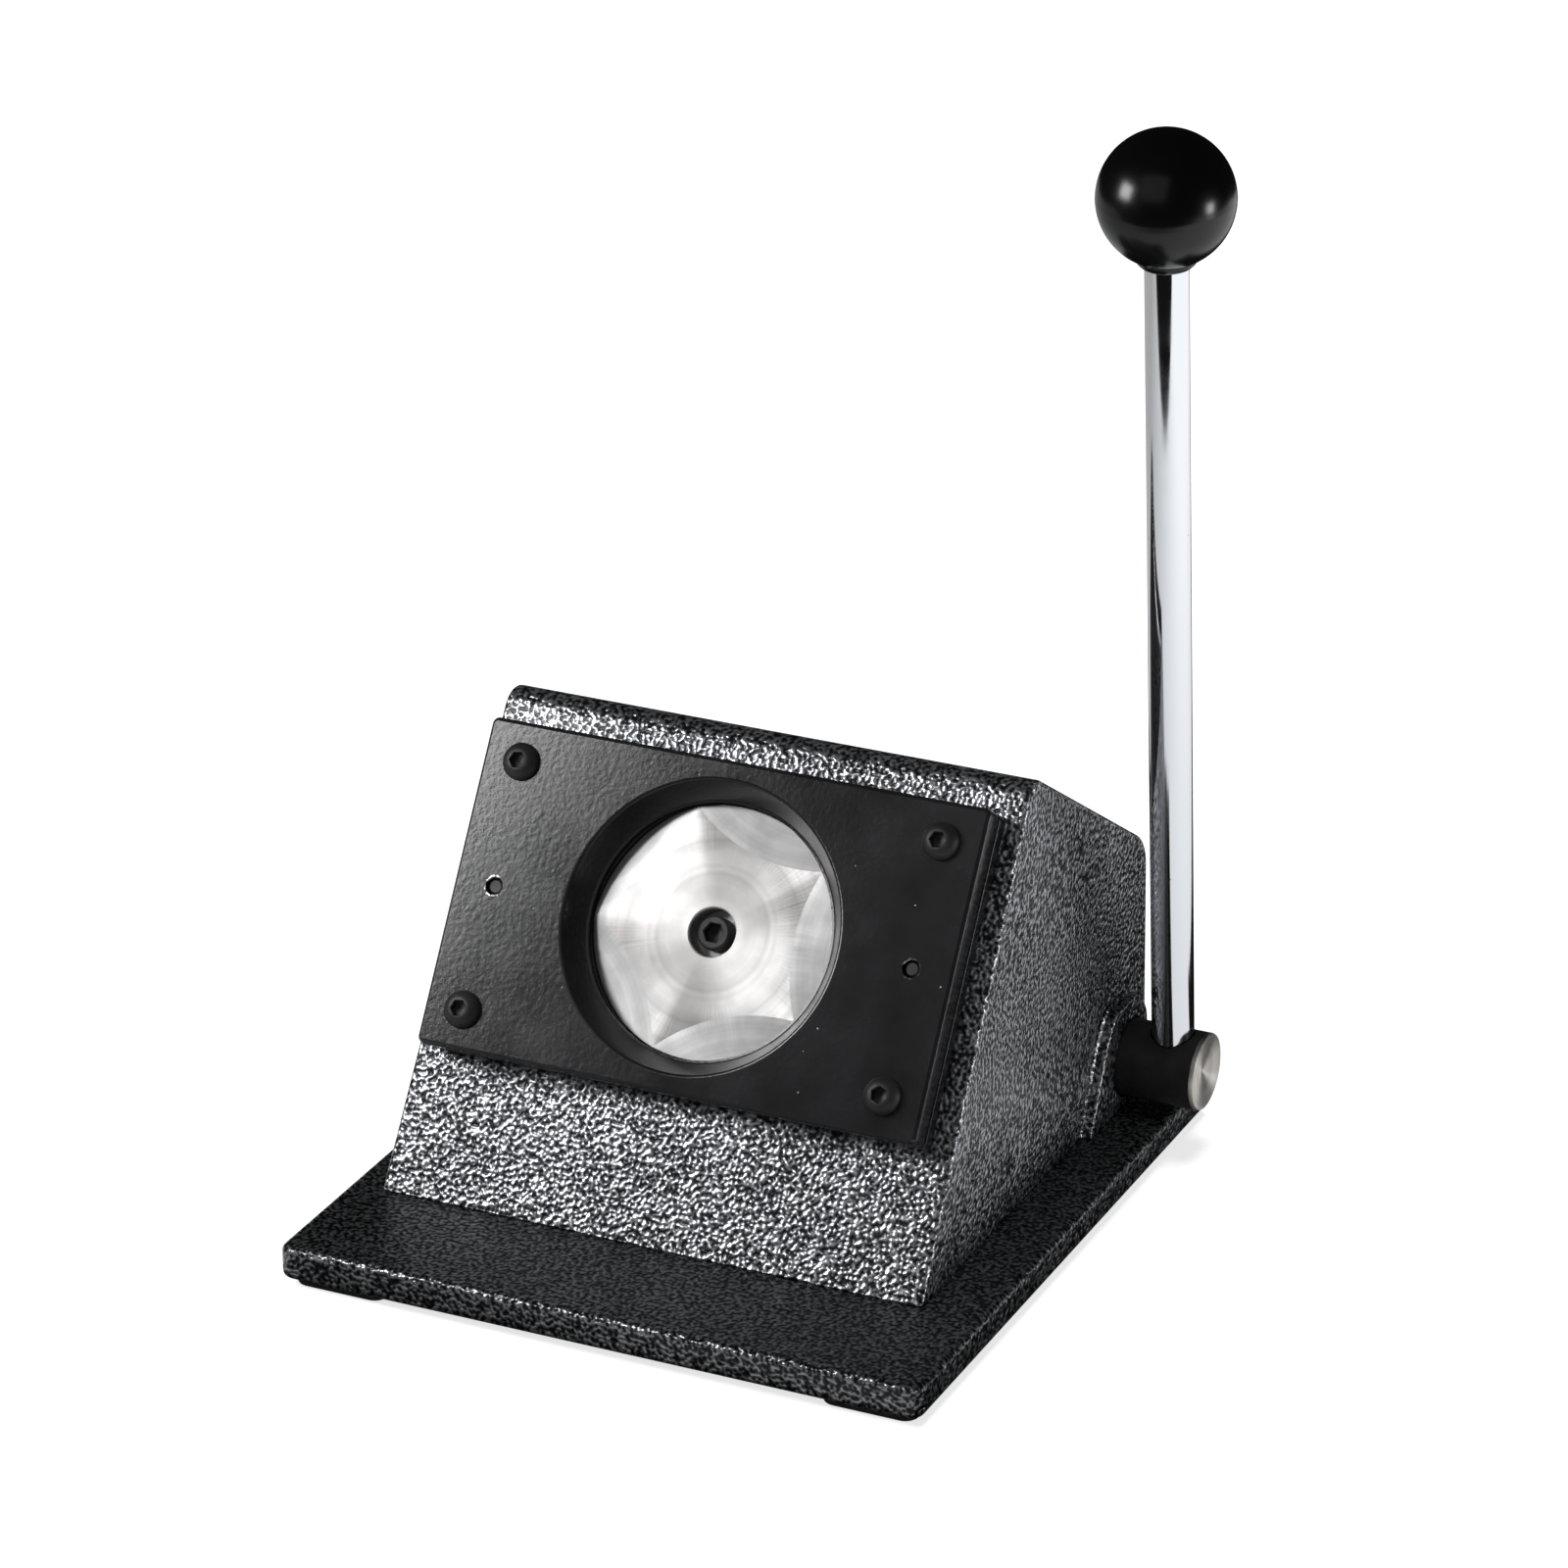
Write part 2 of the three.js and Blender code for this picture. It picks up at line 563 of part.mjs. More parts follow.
function cam() {
  // the outline's +X is the punch axis; it is turned to point from the shaft to the punch
  const lobe = plate(camOutline(), -CAM.thick / 2, CAM.thick / 2, 0, 12);
  const hub = rod(CAM.hub, -CAM.thick / 2 - CAM.hubLength, CAM.thick / 2, 24);
  const blank = geometryOf(join(lobe, hub).subtract(
    solid(drill(SHAFT.step + GAP, -40, 40, 20))).subtract(solid(camPinHole())));
  return alongX(blank.rotateZ(AXIS_TURN)).translate(PUNCH_X, 0, 0);
}

const camPinX = -CAM.thick / 2 - CAM.hubLength / 2;
const acrossShaft = (g) => g.rotateX(Math.PI / 2).translate(0, 0, camPinX);
const camPinHole = () => acrossShaft(drill(CAM_PIN.radius + GAP, -40, 40, 10));

function camPin() {
  const half = CAM.hub - CAM_PIN.short;
  const pin = acrossShaft(rod(CAM_PIN.radius, -half, half, 10));
  return alongX(pin.rotateZ(AXIS_TURN)).translate(PUNCH_X, 0, 0);
}

const ringX = {
  wall: BODY.centreX - BODY.widthLow / 2 - PAD.proud,
  inner: BODY.centreX - BODY.widthLow / 2 + BUSH.length,
};

function crossShaft() {
  const [left, right] = [SHAFT.left, SHAFT.right];
  const groove = (x) => [
    [SHAFT.step, x - 0.8], [SHAFT.step - 0.9, x - 0.8], [SHAFT.step - 0.9, x + 0.8],
    [SHAFT.step, x + 0.8],
  ];
  const stock = alongX(turned([
    [0, left], [SHAFT.step - 1, left], [SHAFT.step, left + 1],
    ...groove(ringX.wall - 2.8), ...groove(ringX.inner + 1.4),
    [SHAFT.step, SHAFT.stepX], [SHAFT.journal, SHAFT.stepX],
    [SHAFT.journal, right - 0.8], [SHAFT.journal - 0.8, right], [0, right - SHAFT.dish],
  ], 24));
  const leverHole = drill(LEVER.radius + GAP, -LEVER.seat - 0.8, 30, 18).rotateX(LEVER.lean)
    .translate(SHAFT.crossX, 0, 0);
  const pinHole = alongX(camPinHole().rotateZ(AXIS_TURN))
    .translate(PUNCH_X, 0, 0);
  return cut(stock, leverHole, pinHole);
}

function retainingRing(x) {
  return alongX(ring(SHAFT.step - 0.9 + GAP, SHAFT.step + 2.6, x - 0.5, x + 0.5, 18));
}

function thrustWasher() {
  return alongX(ring(SHAFT.step + GAP, SHAFT.step + 4.5, ringX.wall - 1.8, ringX.wall - GAP, 18));
}

// The bushes are pressed in from inside, up to a shoulder level with the outside of the wall.
function bushX(side) {
  return BODY.centreX + (side * BODY.widthLow) / 2;
}

function bush(side) {
  const inner = (side > 0 ? SHAFT.journal : SHAFT.step) + GAP;
  const outer = inner - GAP + BUSH.wall;
  const face = BODY.widthLow / 2 - GAP;
  const sleeve = alongX(ring(inner, outer, face - BUSH.length + 2 * GAP, face));
  return (side < 0 ? closed(sleeve.scale(-1, 1, 1)) : sleeve).translate(BODY.centreX, 0, 0);
}

const knobFoot = -Math.sqrt(KNOB.radius ** 2 - KNOB.neck ** 2);
const rodEnd = knobFoot - KNOB.collar + KNOB.overRod;      // from the middle of the ball

function leverRod() {
  const top = LEVER.length + rodEnd;
  const stock = turned([
    [0, -LEVER.seat], [LEVER.radius - 0.6, -LEVER.seat], [LEVER.radius, 0.6 - LEVER.seat],
    [LEVER.radius, top - 0.4],
    [LEVER.radius - 0.4, top], [KNOB.spigot, top], [KNOB.spigot, LEVER.length + KNOB.spigotReach],
    [0, LEVER.length + KNOB.spigotReach],
  ], 18);
  return stock.rotateX(LEVER.lean).translate(SHAFT.crossX, 0, 0);
}

function knob() {
  const start = Math.asin(knobFoot / KNOB.radius);
  const collarLow = knobFoot - KNOB.collar;
  const profile = [[0, collarLow], [KNOB.collarFoot, collarLow]];
  const steps = 10;
  for (let i = 0; i <= steps; i++) {
    const a = start + ((Math.PI / 2 - start) * i) / steps;
    profile.push([i === steps ? 0 : KNOB.radius * Math.cos(a), KNOB.radius * Math.sin(a)]);
  }
  return cut(turned(profile, 24), drill(KNOB.bore, collarLow - 3, KNOB.spigotReach + 1.5, 14))
    .translate(0, 0, LEVER.length).rotateX(LEVER.lean).translate(SHAFT.crossX, 0, 0);
}

function knobInsert() {
  return ring(KNOB.spigot + GAP, KNOB.bore - GAP, rodEnd + GAP, KNOB.spigotReach + 1, 14)
    .translate(0, 0, LEVER.length).rotateX(LEVER.lean).translate(SHAFT.crossX, 0, 0);
}

// ---------------------------------------------------------------- assembly
add("base_plate", basePlate(), hammertoneBlack());
for (const [where, sx, sy] of [
  ["front_left", -1, -1], ["front_right", 1, -1], ["back_left", -1, 1], ["back_right", 1, 1],
]) add(`foot_${where}`, foot(sx, sy), blackRubber());
add("body_casting", bodyCasting(), hammertoneBlack());
for (const fixing of fixings) add(`body_screw_${fixing.where}`, bodyScrew(fixing), blackOxide());

add("guide_plate", guidePlate(), satinBlack(), punchFrame);
add("die_plate", diePlate(), satinBlack(), punchFrame);
for (const [where, x, y] of dieScrewPlaces) {
  add(`die_screw_${where}`, dieScrew(x, y), blackOxide(), punchFrame);
}
for (const [where, x] of dowelPlaces) add(`dowel_pin_${where}`, dowel(x), turnedSteel(), punchFrame);

add("punch", punch(), turnedSteel(), punchFrame);
add("punch_screw", punchScrew(), blackOxide(), punchFrame);
add("ram", ram(), turnedSteel(), punchFrame);
add("ram_bush", ramBush(), bronze(), punchFrame);
add("spring_seat", ring(RAM.radius + GAP, springSeat.outer, springSeat.low,
  springSeat.low + springSeat.thick, 20), blackOxide(), punchFrame);
add("seat_ring", seatRing(), springSteel(), punchFrame);
add("return_spring", returnSpring(), springSteel(), punchFrame);
add("cam_roller", alongX(ring(ROLLER.pin + GAP, ROLLER.radius, -ROLLER.width / 2,
  ROLLER.width / 2, 24)).translate(0, 0, rollerRest), turnedSteel(), punchFrame);
add("roller_pin", alongX(rod(ROLLER.pin, -RAM.radius + 1.4, RAM.radius - 1.4, 12))
  .translate(0, 0, rollerRest), turnedSteel(), punchFrame);

add("cross_shaft", crossShaft(), blackOxide(), shaftFrame);
add("cam", cam(), turnedSteel(), shaftFrame);
add("cam_pin", camPin(), springSteel(), shaftFrame);
add("shaft_bush_right", bush(1), bronze(), shaftFrame);
add("shaft_bush_left", bush(-1), bronze(), shaftFrame);
add("thrust_washer", thrustWasher(), turnedSteel(), shaftFrame);
add("retaining_ring_outer", retainingRing(ringX.wall - 2.8), springSteel(), shaftFrame);
add("retaining_ring_inner", retainingRing(ringX.inner + 1.4), springSteel(), shaftFrame);
add("lever_rod", leverRod(), chrome(), shaftFrame);
add("lever_knob", knob(), glossPlastic(), shaftFrame);
add("knob_insert", knobInsert(), bronze(), shaftFrame);

// The model's origin is on the table, under the middle of its bounding box.
machine.updateMatrixWorld(true);
const extent = new THREE.Box3().setFromObject(machine);
machine.position.set(-(extent.min.x + extent.max.x) / 2, -(extent.min.y + extent.max.y) / 2,
  -extent.min.z);

export default machine;
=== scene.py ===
"""Table-top badge disc cutter: a cast housing on a base plate, a round punch behind a sloping
die plate, and a hand lever on a cross shaft. The pieces are drawn in millimetres, in the frame
of the part that they belong to, and are put in place in metres."""
import json
import math

import bmesh
import bpy
from mathutils import Matrix, Vector


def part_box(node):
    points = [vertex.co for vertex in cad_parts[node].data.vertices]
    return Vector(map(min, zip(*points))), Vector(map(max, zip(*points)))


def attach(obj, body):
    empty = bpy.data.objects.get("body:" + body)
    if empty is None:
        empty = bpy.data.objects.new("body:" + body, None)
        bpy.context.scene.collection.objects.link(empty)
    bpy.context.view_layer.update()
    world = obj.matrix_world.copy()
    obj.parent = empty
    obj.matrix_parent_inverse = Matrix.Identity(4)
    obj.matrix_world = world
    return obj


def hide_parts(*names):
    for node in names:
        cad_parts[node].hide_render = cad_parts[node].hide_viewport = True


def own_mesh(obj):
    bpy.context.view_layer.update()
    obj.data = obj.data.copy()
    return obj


MM = 0.001
GAP = 0.3                       # running or assembly clearance between two pieces

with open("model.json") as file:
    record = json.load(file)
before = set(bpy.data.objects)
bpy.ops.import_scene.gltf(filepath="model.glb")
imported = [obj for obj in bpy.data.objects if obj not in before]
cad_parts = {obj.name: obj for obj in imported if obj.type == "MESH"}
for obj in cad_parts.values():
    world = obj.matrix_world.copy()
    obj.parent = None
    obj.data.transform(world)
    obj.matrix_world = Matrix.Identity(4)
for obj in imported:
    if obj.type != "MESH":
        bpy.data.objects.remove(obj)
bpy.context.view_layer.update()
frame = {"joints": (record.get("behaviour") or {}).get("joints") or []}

# ---------------- sizes, in millimetres
FACE_TILT = math.radians(58)    # sloping front of the housing, from the horizontal
BASE_CORNER, BASE_EDGE = 4, 2
BODY_FRONT, BODY_BACK = 41.5, 201       # from the base's front edge
BODY_SLOPE, BODY_HEIGHT, BODY_WALL = 145, 122, 6
BODY_WIDE, BODY_NARROW = 161.4, 157     # drafted: wider at the foot than at the ridge
BODY_EDGE, RIDGE_ROUND, SHOULDER_ROUND = 1.5, 7, 13
BODY_FROM_SHAFT = -4            # middle of the housing, from the middle of the base
HALF_BODY = BODY_WIDE / 2
PAD_PROUD, PAD_BOSS, PAD_TOP, PAD_REAR, PAD_FRONT = 3, 17, 17.5, 13.5, 29
CUP_STEM, CUP_RIM = 25, 43      # the casting's metal round the ram's bush and the punch
FIXING_X, FIXING_FRONT, FIXING_BACK = 70, -44, 28       # from the housing's middle
POST_HIGH, POST_RADIUS = 24, 8
CAP_HEAD, CAP_DEEP = 5, 6       # head of a screw under the base
FOOT_LONG, FOOT_WIDE, FOOT_INSET, FOOT_CORNER = 27, 24, 3, 4
OUTSIDE = 200                   # a cut to here leaves nothing standing
SCREW_TURN = math.pi / 3        # a hexagon socket looks the same after this turn

PLATE_WIDE, PLATE_TALL, PLATE_CORNER = 148.4, 91.8, 2
GUIDE_THICK, CHANNEL_DEEP, RAIL_WIDE = 4.3, 1, 17
GUIDE_FACE = GAP + GUIDE_THICK
DIE_BACK = GUIDE_FACE + GAP
DIE_THICK, DIE_CHAMFER = 8, 1
DIE_FACE = DIE_BACK + DIE_THICK
WINDOW_MOUTH, WINDOW_THROAT, WINDOW_LAND, LAND_DEEP = 40.4, 36, 35.35, 0.8
SCREW_ACROSS, SCREW_ALONG, DOWEL_ACROSS = 125, 69.6, 124
M6_SHANK, DOWEL_RADIUS = 3, 2

PUNCH_RADIUS, PUNCH_FACE, PUNCH_THICK = 35, 3.5, 12
PUNCH_BACK = PUNCH_FACE - PUNCH_THICK
SCALLOPS, FIRST_TIP, SCALLOP_RADIUS = 5, math.radians(38.4), 49
SCALLOP_DEEP, SCALLOP_REACH = 2.2, 0.68
RECESS_RADIUS, RECESS_DEEP = 6.8, 6.6
CHAMBER_RADIUS, CHAMBER_FLOOR = 37, PUNCH_BACK - 0.4

RAM_RADIUS, RAM_SLOT, FORK_REACH = 14, 13, 6.5
BUSH_OUTER, BUSH_FRONT, BUSH_BACK = 18, CHAMBER_FLOOR - 6, CHAMBER_FLOOR - 38
SEAT_THICK, SEAT_OUTER, RING_GROOVE = 3, 20, 1.2
SPRING_MEAN, SPRING_WIRE, SPRING_TURNS = 17, 1.1, 6.5

SHAFT_DEEP = 123.6 - DIE_FACE   # the housing's front plane to the shaft, along the punch axis
SHAFT_DROP = 1.6                # the shaft lies this far below the punch axis
SHAFT_BIG, SHAFT_SMALL, SHAFT_RIGHT, SHAFT_STEP, SHAFT_LEFT = 11.1, 8, 103.1, 6, -93.2
SHAFT_DISH, CROSS_HOLE_AT, RING_DEEP = 1.6, 92.9, 0.9
LEVER_LEAN, LEVER_RADIUS, LEVER_LONG = math.radians(5.5), 6, 264.2
KNOB_RADIUS, KNOB_NECK, KNOB_COLLAR, COLLAR_FOOT, KNOB_BORE = 18.7, 8.4, 2.2, 7.1, 6.5
SPIGOT_RADIUS, BUSH_WALL, BUSH_LONG, CAM_PIN = 4, 2, 15, 2
ROLLER_RADIUS, ROLLER_WIDE, ROLLER_PIN = 8, 12, 3
CAM_LOW, CAM_HUB, CAM_THICK, CAM_HUB_LONG = 15, 12.9, 10, 13
ROLLER_REST = -SHAFT_DEEP + CAM_LOW + GAP + ROLLER_RADIUS
LEVER_SWING, PUNCH_TRAVEL = math.radians(75), 6.5

# ---------------- frames of the parts
joints = {joint["name"]: joint for joint in frame["joints"]}
base_low, base_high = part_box("base_plate")
die_middle = sum(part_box("die_plate"), Vector()) / 2
punch_axis = Vector(joints["ram_slide"]["axis"])
shaft_at = Vector(joints["lever_swing"]["pos_m"])
base_middle = (base_low + base_high) / 2


def frame_at(origin, across, along, out):
    """A frame in metres whose own lengths are millimetres."""
    axes = Matrix((across, along, out)).transposed().to_4x4()
    return Matrix.Translation(origin) @ axes @ Matrix.Scale(MM, 4)


RIGHT = Vector((1, 0, 0))
# Z leaves the housing's front plane along the punch axis, and Y runs up the slope
PUNCH = frame_at(die_middle - punch_axis * MM * (DIE_BACK + DIE_THICK / 2),
                 RIGHT, punch_axis.cross(RIGHT), punch_axis)
# Z is the shaft's axis, to the lever side, from the middle of the base
SHAFT = frame_at(Vector((base_middle.x, shaft_at.y, shaft_at.z)),
                 Vector((0, 1, 0)), Vector((0, 0, 1)), RIGHT)
# Z runs up the lever from the shaft's axis
lever_up = Vector((0, -math.sin(LEVER_LEAN), math.cos(LEVER_LEAN)))
LEVER = frame_at(SHAFT @ Vector((0, 0, CROSS_HOLE_AT)), RIGHT, lever_up.cross(RIGHT), lever_up)
# Z is up from the table, under the middle of the base
TABLE = frame_at(Vector((base_middle.x, base_middle.y, 0)), RIGHT,
                 Vector((0, 1, 0)), Vector((0, 0, 1)))
BASE_LOW, BASE_TOP = base_low.z / MM, base_high.z / MM
BASE_WIDE, BASE_DEEP = ((base_high - base_low) / MM).xy
BODY_MIDDLE = -BASE_DEEP / 2 + (BODY_FRONT + BODY_BACK) / 2
PUNCH_X = (die_middle.x - base_middle.x) / MM
ROLLER_Z_TO_PUNCH = Matrix.Translation((0, 0, ROLLER_REST)) @ Matrix(
    ((0, 0, 1, 0), (1, 0, 0, 0), (0, 1, 0, 0), (0, 0, 0, 1)))


# ---------------- drawing in mesh
def between(first, last, count):
    """Even steps from the first value to the last."""
    return [first + (last - first) * i / count for i in range(count + 1)]


def polar(radius, turn):
    return radius * math.cos(turn), radius * math.sin(turn)


def turned(profile, steps=96):
    """A solid of revolution about Z, from (radius, height) points; a repeated first point
    closes a ring."""
    bm = bmesh.new()
    spokes = [polar(1, 2 * math.pi * i / steps) for i in range(steps)]
    hoops = []
    for radius, height in profile:
        if hoops and (radius, height) == tuple(profile[0]):
            hoops.append(hoops[0])
        elif radius == 0:
            hoops.append([bm.verts.new((0, 0, height))])
        else:
            hoops.append([bm.verts.new((radius * x, radius * y, height)) for x, y in spokes])
    for low, high in zip(hoops, hoops[1:]):
        for i in range(steps):
            j = (i + 1) % steps
            corners = [low[i % len(low)], low[j % len(low)],
                       high[j % len(high)], high[i % len(high)]]
            corners = list(dict.fromkeys(corners))
            if len(corners) > 2:
                bm.faces.new(corners)
    return bm


def rod(radius, low, high, chamfer, steps=64):
    """A round bar along Z with chamfered ends."""
    return turned([(0, low), (radius - chamfer, low), (radius, low + chamfer),
                   (radius, high - chamfer), (radius - chamfer, high), (0, high)], steps)


def sleeve(inner, outer, low, high, c=0.3, steps=96):
    """A bush or washer about Z, its four edges chamfered by c."""
    return turned([(inner + c, low), (outer - c, low), (outer, low + c), (outer, high - c),
                   (outer - c, high), (inner + c, high), (inner, high - c), (inner, low + c),
                   (inner + c, low)], steps)


def stacked(outline, levels):
    """A solid whose section is the outline, drawn in by an inset at each height."""
    count = len(outline)
    points = [Vector(p) for p in outline]
    inward = []
    for i, point in enumerate(points):
        before = (point - points[i - 1]).normalized()
        after = (points[(i + 1) % count] - point).normalized()
        normal = Vector((-before.y - after.y, before.x + after.x))
        inward.append(normal * 2 / normal.length_squared)
    bm = bmesh.new()
    hoops = [[bm.verts.new((*(p + n * inset), height)) for p, n in zip(points, inward)]
             for inset, height in levels]
    for low, high in zip(hoops, hoops[1:]):
        for i in range(count):
            bm.faces.new((low[i], low[(i + 1) % count], high[(i + 1) % count], high[i]))
    bm.faces.new(hoops[0][::-1])
    bm.faces.new(hoops[-1])
    return bm


def rounded_levels(low, high, low_edge, high_edge, steps=6):
    """Levels for stacked() that round both rims by their radii."""
    def quarter(radius, end, sign):
        return [(radius * (1 - math.sin(t)), end + sign * radius * (1 - math.cos(t)))
                for t in between(0, math.pi / 2, steps)]
    below = quarter(low_edge, low, 1) if low_edge else [(0, low)]
    above = quarter(high_edge, high, -1) if high_edge else [(0, high)]
    return below + above[::-1]


def rounded(corners, radii, steps=8):
    """An outline with each corner rounded, from points in anticlockwise order."""
    outline = []
    count = len(corners)
    for i, corner in enumerate(map(Vector, corners)):
        back = (Vector(corners[i - 1]) - corner).normalized()
        on = (Vector(corners[(i + 1) % count]) - corner).normalized()
        if not radii[i]:
            outline.append(corner)
            continue
        half = back.angle(on) / 2
        centre = corner + (back + on).normalized() * radii[i] / math.sin(half)
        start = corner + back * radii[i] / math.tan(half) - centre
        end = corner + on * radii[i] / math.tan(half) - centre
        outline += [centre + Matrix.Rotation(turn, 2) @ start
                    for turn in between(0, -start.angle_signed(end), steps)]
    return outline


def rectangle(wide, tall, corner, steps=8):
    x, y = wide / 2, tall / 2
    return rounded([(-x, -y), (x, -y), (x, y), (-x, y)], [corner] * 4, steps)


def socket_cutter(across_flats, floor, mouth):
    """Cuts a hexagon socket with a drilled cone at its floor and a broken edge at its mouth."""
    corner = across_flats / math.sqrt(3)
    hexagon = [polar(corner, math.pi / 3 * i) for i in range(6)]
    return stacked(hexagon, [(corner * 0.8, floor - 0.5), (0, floor), (0, mouth - 0.25),
                             (-0.25, mouth), (-0.25, mouth + 2)])


def hole(radius, low, high, mouth=0.0, steps=48):
    """Cuts a round hole; `mouth` countersinks its upper rim."""
    profile = [(0, low), (radius, low)]
    if mouth:
        profile += [(radius, high - mouth), (radius + mouth, high)]
        return turned(profile + [(radius + mouth, high + 1), (0, high + 1)], steps)
    return turned(profile + [(radius, high), (0, high)], steps)


# ---------------- moving and joining
FLIPPED = Matrix.Diagonal((1, 1, -1, 1))
SIDES = (-1, 1)
fixing_spots = [(BODY_FROM_SHAFT + side * FIXING_X, BODY_MIDDLE + y)
                for side in SIDES for y in (FIXING_FRONT, FIXING_BACK)]
screw_spots = [(x * SCREW_ACROSS / 2, y * SCREW_ALONG / 2) for x in SIDES for y in SIDES]
dowel_spots = [(x * DOWEL_ACROSS / 2, 0) for x in SIDES]


def moved(bm, *steps):
    """Moves a drawing by matrices, or by a shift along X, Y and Z."""
    for step in steps:
        matrix = step if isinstance(step, Matrix) else Matrix.Translation(step)
        bmesh.ops.transform(bm, matrix=matrix, verts=bm.verts)
    return bm


def holes(spots, *sizes):
    return [moved(hole(*sizes), (*spot, 0)) for spot in spots]


def as_object(name, bm):
    bmesh.ops.recalc_face_normals(bm, faces=bm.faces)
    mesh = bpy.data.meshes.new(name)
    bm.to_mesh(mesh)
    bm.free()
    piece = bpy.data.objects.new(name, mesh)
    bpy.context.scene.collection.objects.link(piece)
    return piece


def settled(piece):
    """Applies a piece's modifiers to its mesh."""
    bpy.context.view_layer.update()
    graph = bpy.context.evaluated_depsgraph_get()
    mesh = bpy.data.meshes.new_from_object(piece.evaluated_get(graph))
    piece.modifiers.clear()
    piece.data = mesh
    return piece


def combined(name, stock, tools, operation="DIFFERENCE"):
    """Cuts, joins or crosses a drawing with others, one after another."""
    piece = stock if isinstance(stock, bpy.types.Object) else as_object(name, stock)
    used = [tool if isinstance(tool, bpy.types.Object) else as_object("tool", tool)
            for tool in tools]
    for tool in used:
        step = piece.modifiers.new("cut", "BOOLEAN")
        step.operation, step.solver, step.object = operation, "MANIFOLD", tool
    settled(piece)
    for tool in used:
        bpy.data.objects.remove(tool)
    piece.name = name
    return piece


def smoothed(piece):
    """Smooth faces with crisp edges, and flat faces kept flat beside their rounded rims."""
    mesh = piece.data
    mesh.polygons.foreach_set("use_smooth", [True] * len(mesh.polygons))
    mesh.set_sharp_from_angle(angle=math.radians(32))
    piece.modifiers.new("weigh", "WEIGHTED_NORMAL").keep_sharp = True
    return settled(piece)


# ---------------- materials
def srgb(code):
    """A linear colour from an sRGB hex code."""
    levels = [int(code[i:i + 2], 16) / 255 for i in (0, 2, 4)]
    linear = [v / 12.92 if v <= 0.04045 else ((v + 0.055) / 1.055) ** 2.4 for v in levels]
    return (*linear, 1.0)


# A colour Mix node keeps its sockets for colours at these places
MIX, MIX_A, MIX_B, MIXED = 0, 6, 7, 2


def add_node(tree, kind, sockets=None, stops=None, **settings):
    """Adds a node. A socket's value is a number, a colour or another node's output."""
    made = tree.nodes.new(kind)
    for name, value in settings.items():
        setattr(made, name, value)
    for name, value in (sockets or {}).items():
        if isinstance(value, bpy.types.NodeSocket):
            tree.links.new(value, made.inputs[name])
        else:
            made.inputs[name].default_value = value
    if stops:
        ramp = made.color_ramp.elements
        while len(ramp) < len(stops):
            ramp.new(1.0)
        for element, (position, colour) in zip(ramp, stops):
            element.position, element.color = position, srgb(colour)
    return made


def per_mm(size):
    """The scale of a pattern whose features are `size` millimetres apart, in metres."""
    return 1 / (size * MM)


class Finish:
    """A material with one Principled shader, whose constants go on the shader's own sockets,
    and the nodes that its patterns are drawn with."""

    def __init__(self, name, **constants):
        self.material = bpy.data.materials.new(name)
        self.material.use_nodes = True
        self.tree = self.material.node_tree
        self.shader = self.tree.nodes["Principled BSDF"]
        for socket, value in constants.items():
            self.shader.inputs[socket.replace("_", " ")].default_value = value
        self.at = add_node(self.tree, "ShaderNodeTexCoord").outputs["Object"]

    def noise(self, apart, **sockets):
        return add_node(self.tree, "ShaderNodeTexNoise", {
            "Vector": self.at, "Scale": per_mm(apart), **sockets}).outputs["Fac"]

    def rings(self, radius, apart, detail):
        """Noise that changes only with the distance from an axis."""
        return add_node(self.tree, "ShaderNodeTexNoise", {
            "W": radius, "Scale": per_mm(apart), "Detail": detail},
            noise_dimensions="1D").outputs["Fac"]

    def specks(self, apart, core, rim):
        """Small round specks: 0 inside the core and 1 outside the rim."""
        cells = add_node(self.tree, "ShaderNodeTexVoronoi", {
            "Vector": self.at, "Scale": per_mm(apart)})
        return self.mapped(cells.outputs["Distance"], 0.0, 1.0, core, rim)

    def mapped(self, value, low, high, value_low=0.0, value_high=1.0):
        return add_node(self.tree, "ShaderNodeMapRange", {
            "Value": value, "From Min": value_low, "From Max": value_high,
            "To Min": low, "To Max": high}).outputs["Result"]

    def toned(self, value, *stops):
        return add_node(self.tree, "ShaderNodeValToRGB", {"Fac": value}, stops).outputs["Color"]

    def math(self, operation, *values):
        return add_node(self.tree, "ShaderNodeMath", dict(enumerate(values)),
                        operation=operation).outputs["Value"]

    def vector(self, operation, *values, output="Vector"):
        return add_node(self.tree, "ShaderNodeVectorMath", dict(enumerate(values)),
                        operation=operation).outputs[output]

    def relief(self, height, deep, strength=1.0, over=None):
        """Relief `deep` millimetres from low to high, on top of another relief if there is one."""
        below = {"Normal": over} if over else {}
        return add_node(self.tree, "ShaderNodeBump", {
            "Strength": strength, "Distance": deep * MM, "Height": height,
            **below}).outputs["Normal"]

    def made(self, **patterns):
        """Links the patterns to the shader's sockets."""
        for socket, output in patterns.items():
            self.tree.links.new(output, self.shader.inputs[socket.replace("_", " ")])
        return self.material


def hammertone_paint(name, shaded_valley, crest, painted_glint):
    """Stoved hammer-finish paint on cast iron, with leafing metal flake, in cells about 1 mm
    apart.
    The colour follows the cells' relief: darker in the dimples as painted shade and brightest on
    the crests as a painted highlight, while the relief gives each dimple a lit side and a shaded
    side."""
    paint = Finish(name, Metallic=0.9, Coat_Weight=0.15, Coat_Roughness=0.12)
    cells = paint.noise(1.2, Detail=0.3, Roughness=0.4)
    fine = paint.noise(0.35)
    shade = paint.mapped(paint.noise(26), 0.82, 1.12, 0.3, 0.7)
    # painted shade in the dimples and a painted highlight on the crests, on the same cells as the
    # relief
    colour = paint.toned(cells, (0.38, shaded_valley), (0.5, crest), (0.64, painted_glint))
    return paint.made(Base_Color=paint.vector("MULTIPLY", colour, shade),
                      Roughness=paint.mapped(fine, 0.24, 0.36),
                      Normal=paint.relief(cells, 0.6, over=paint.relief(fine, 0.04, 0.2)))


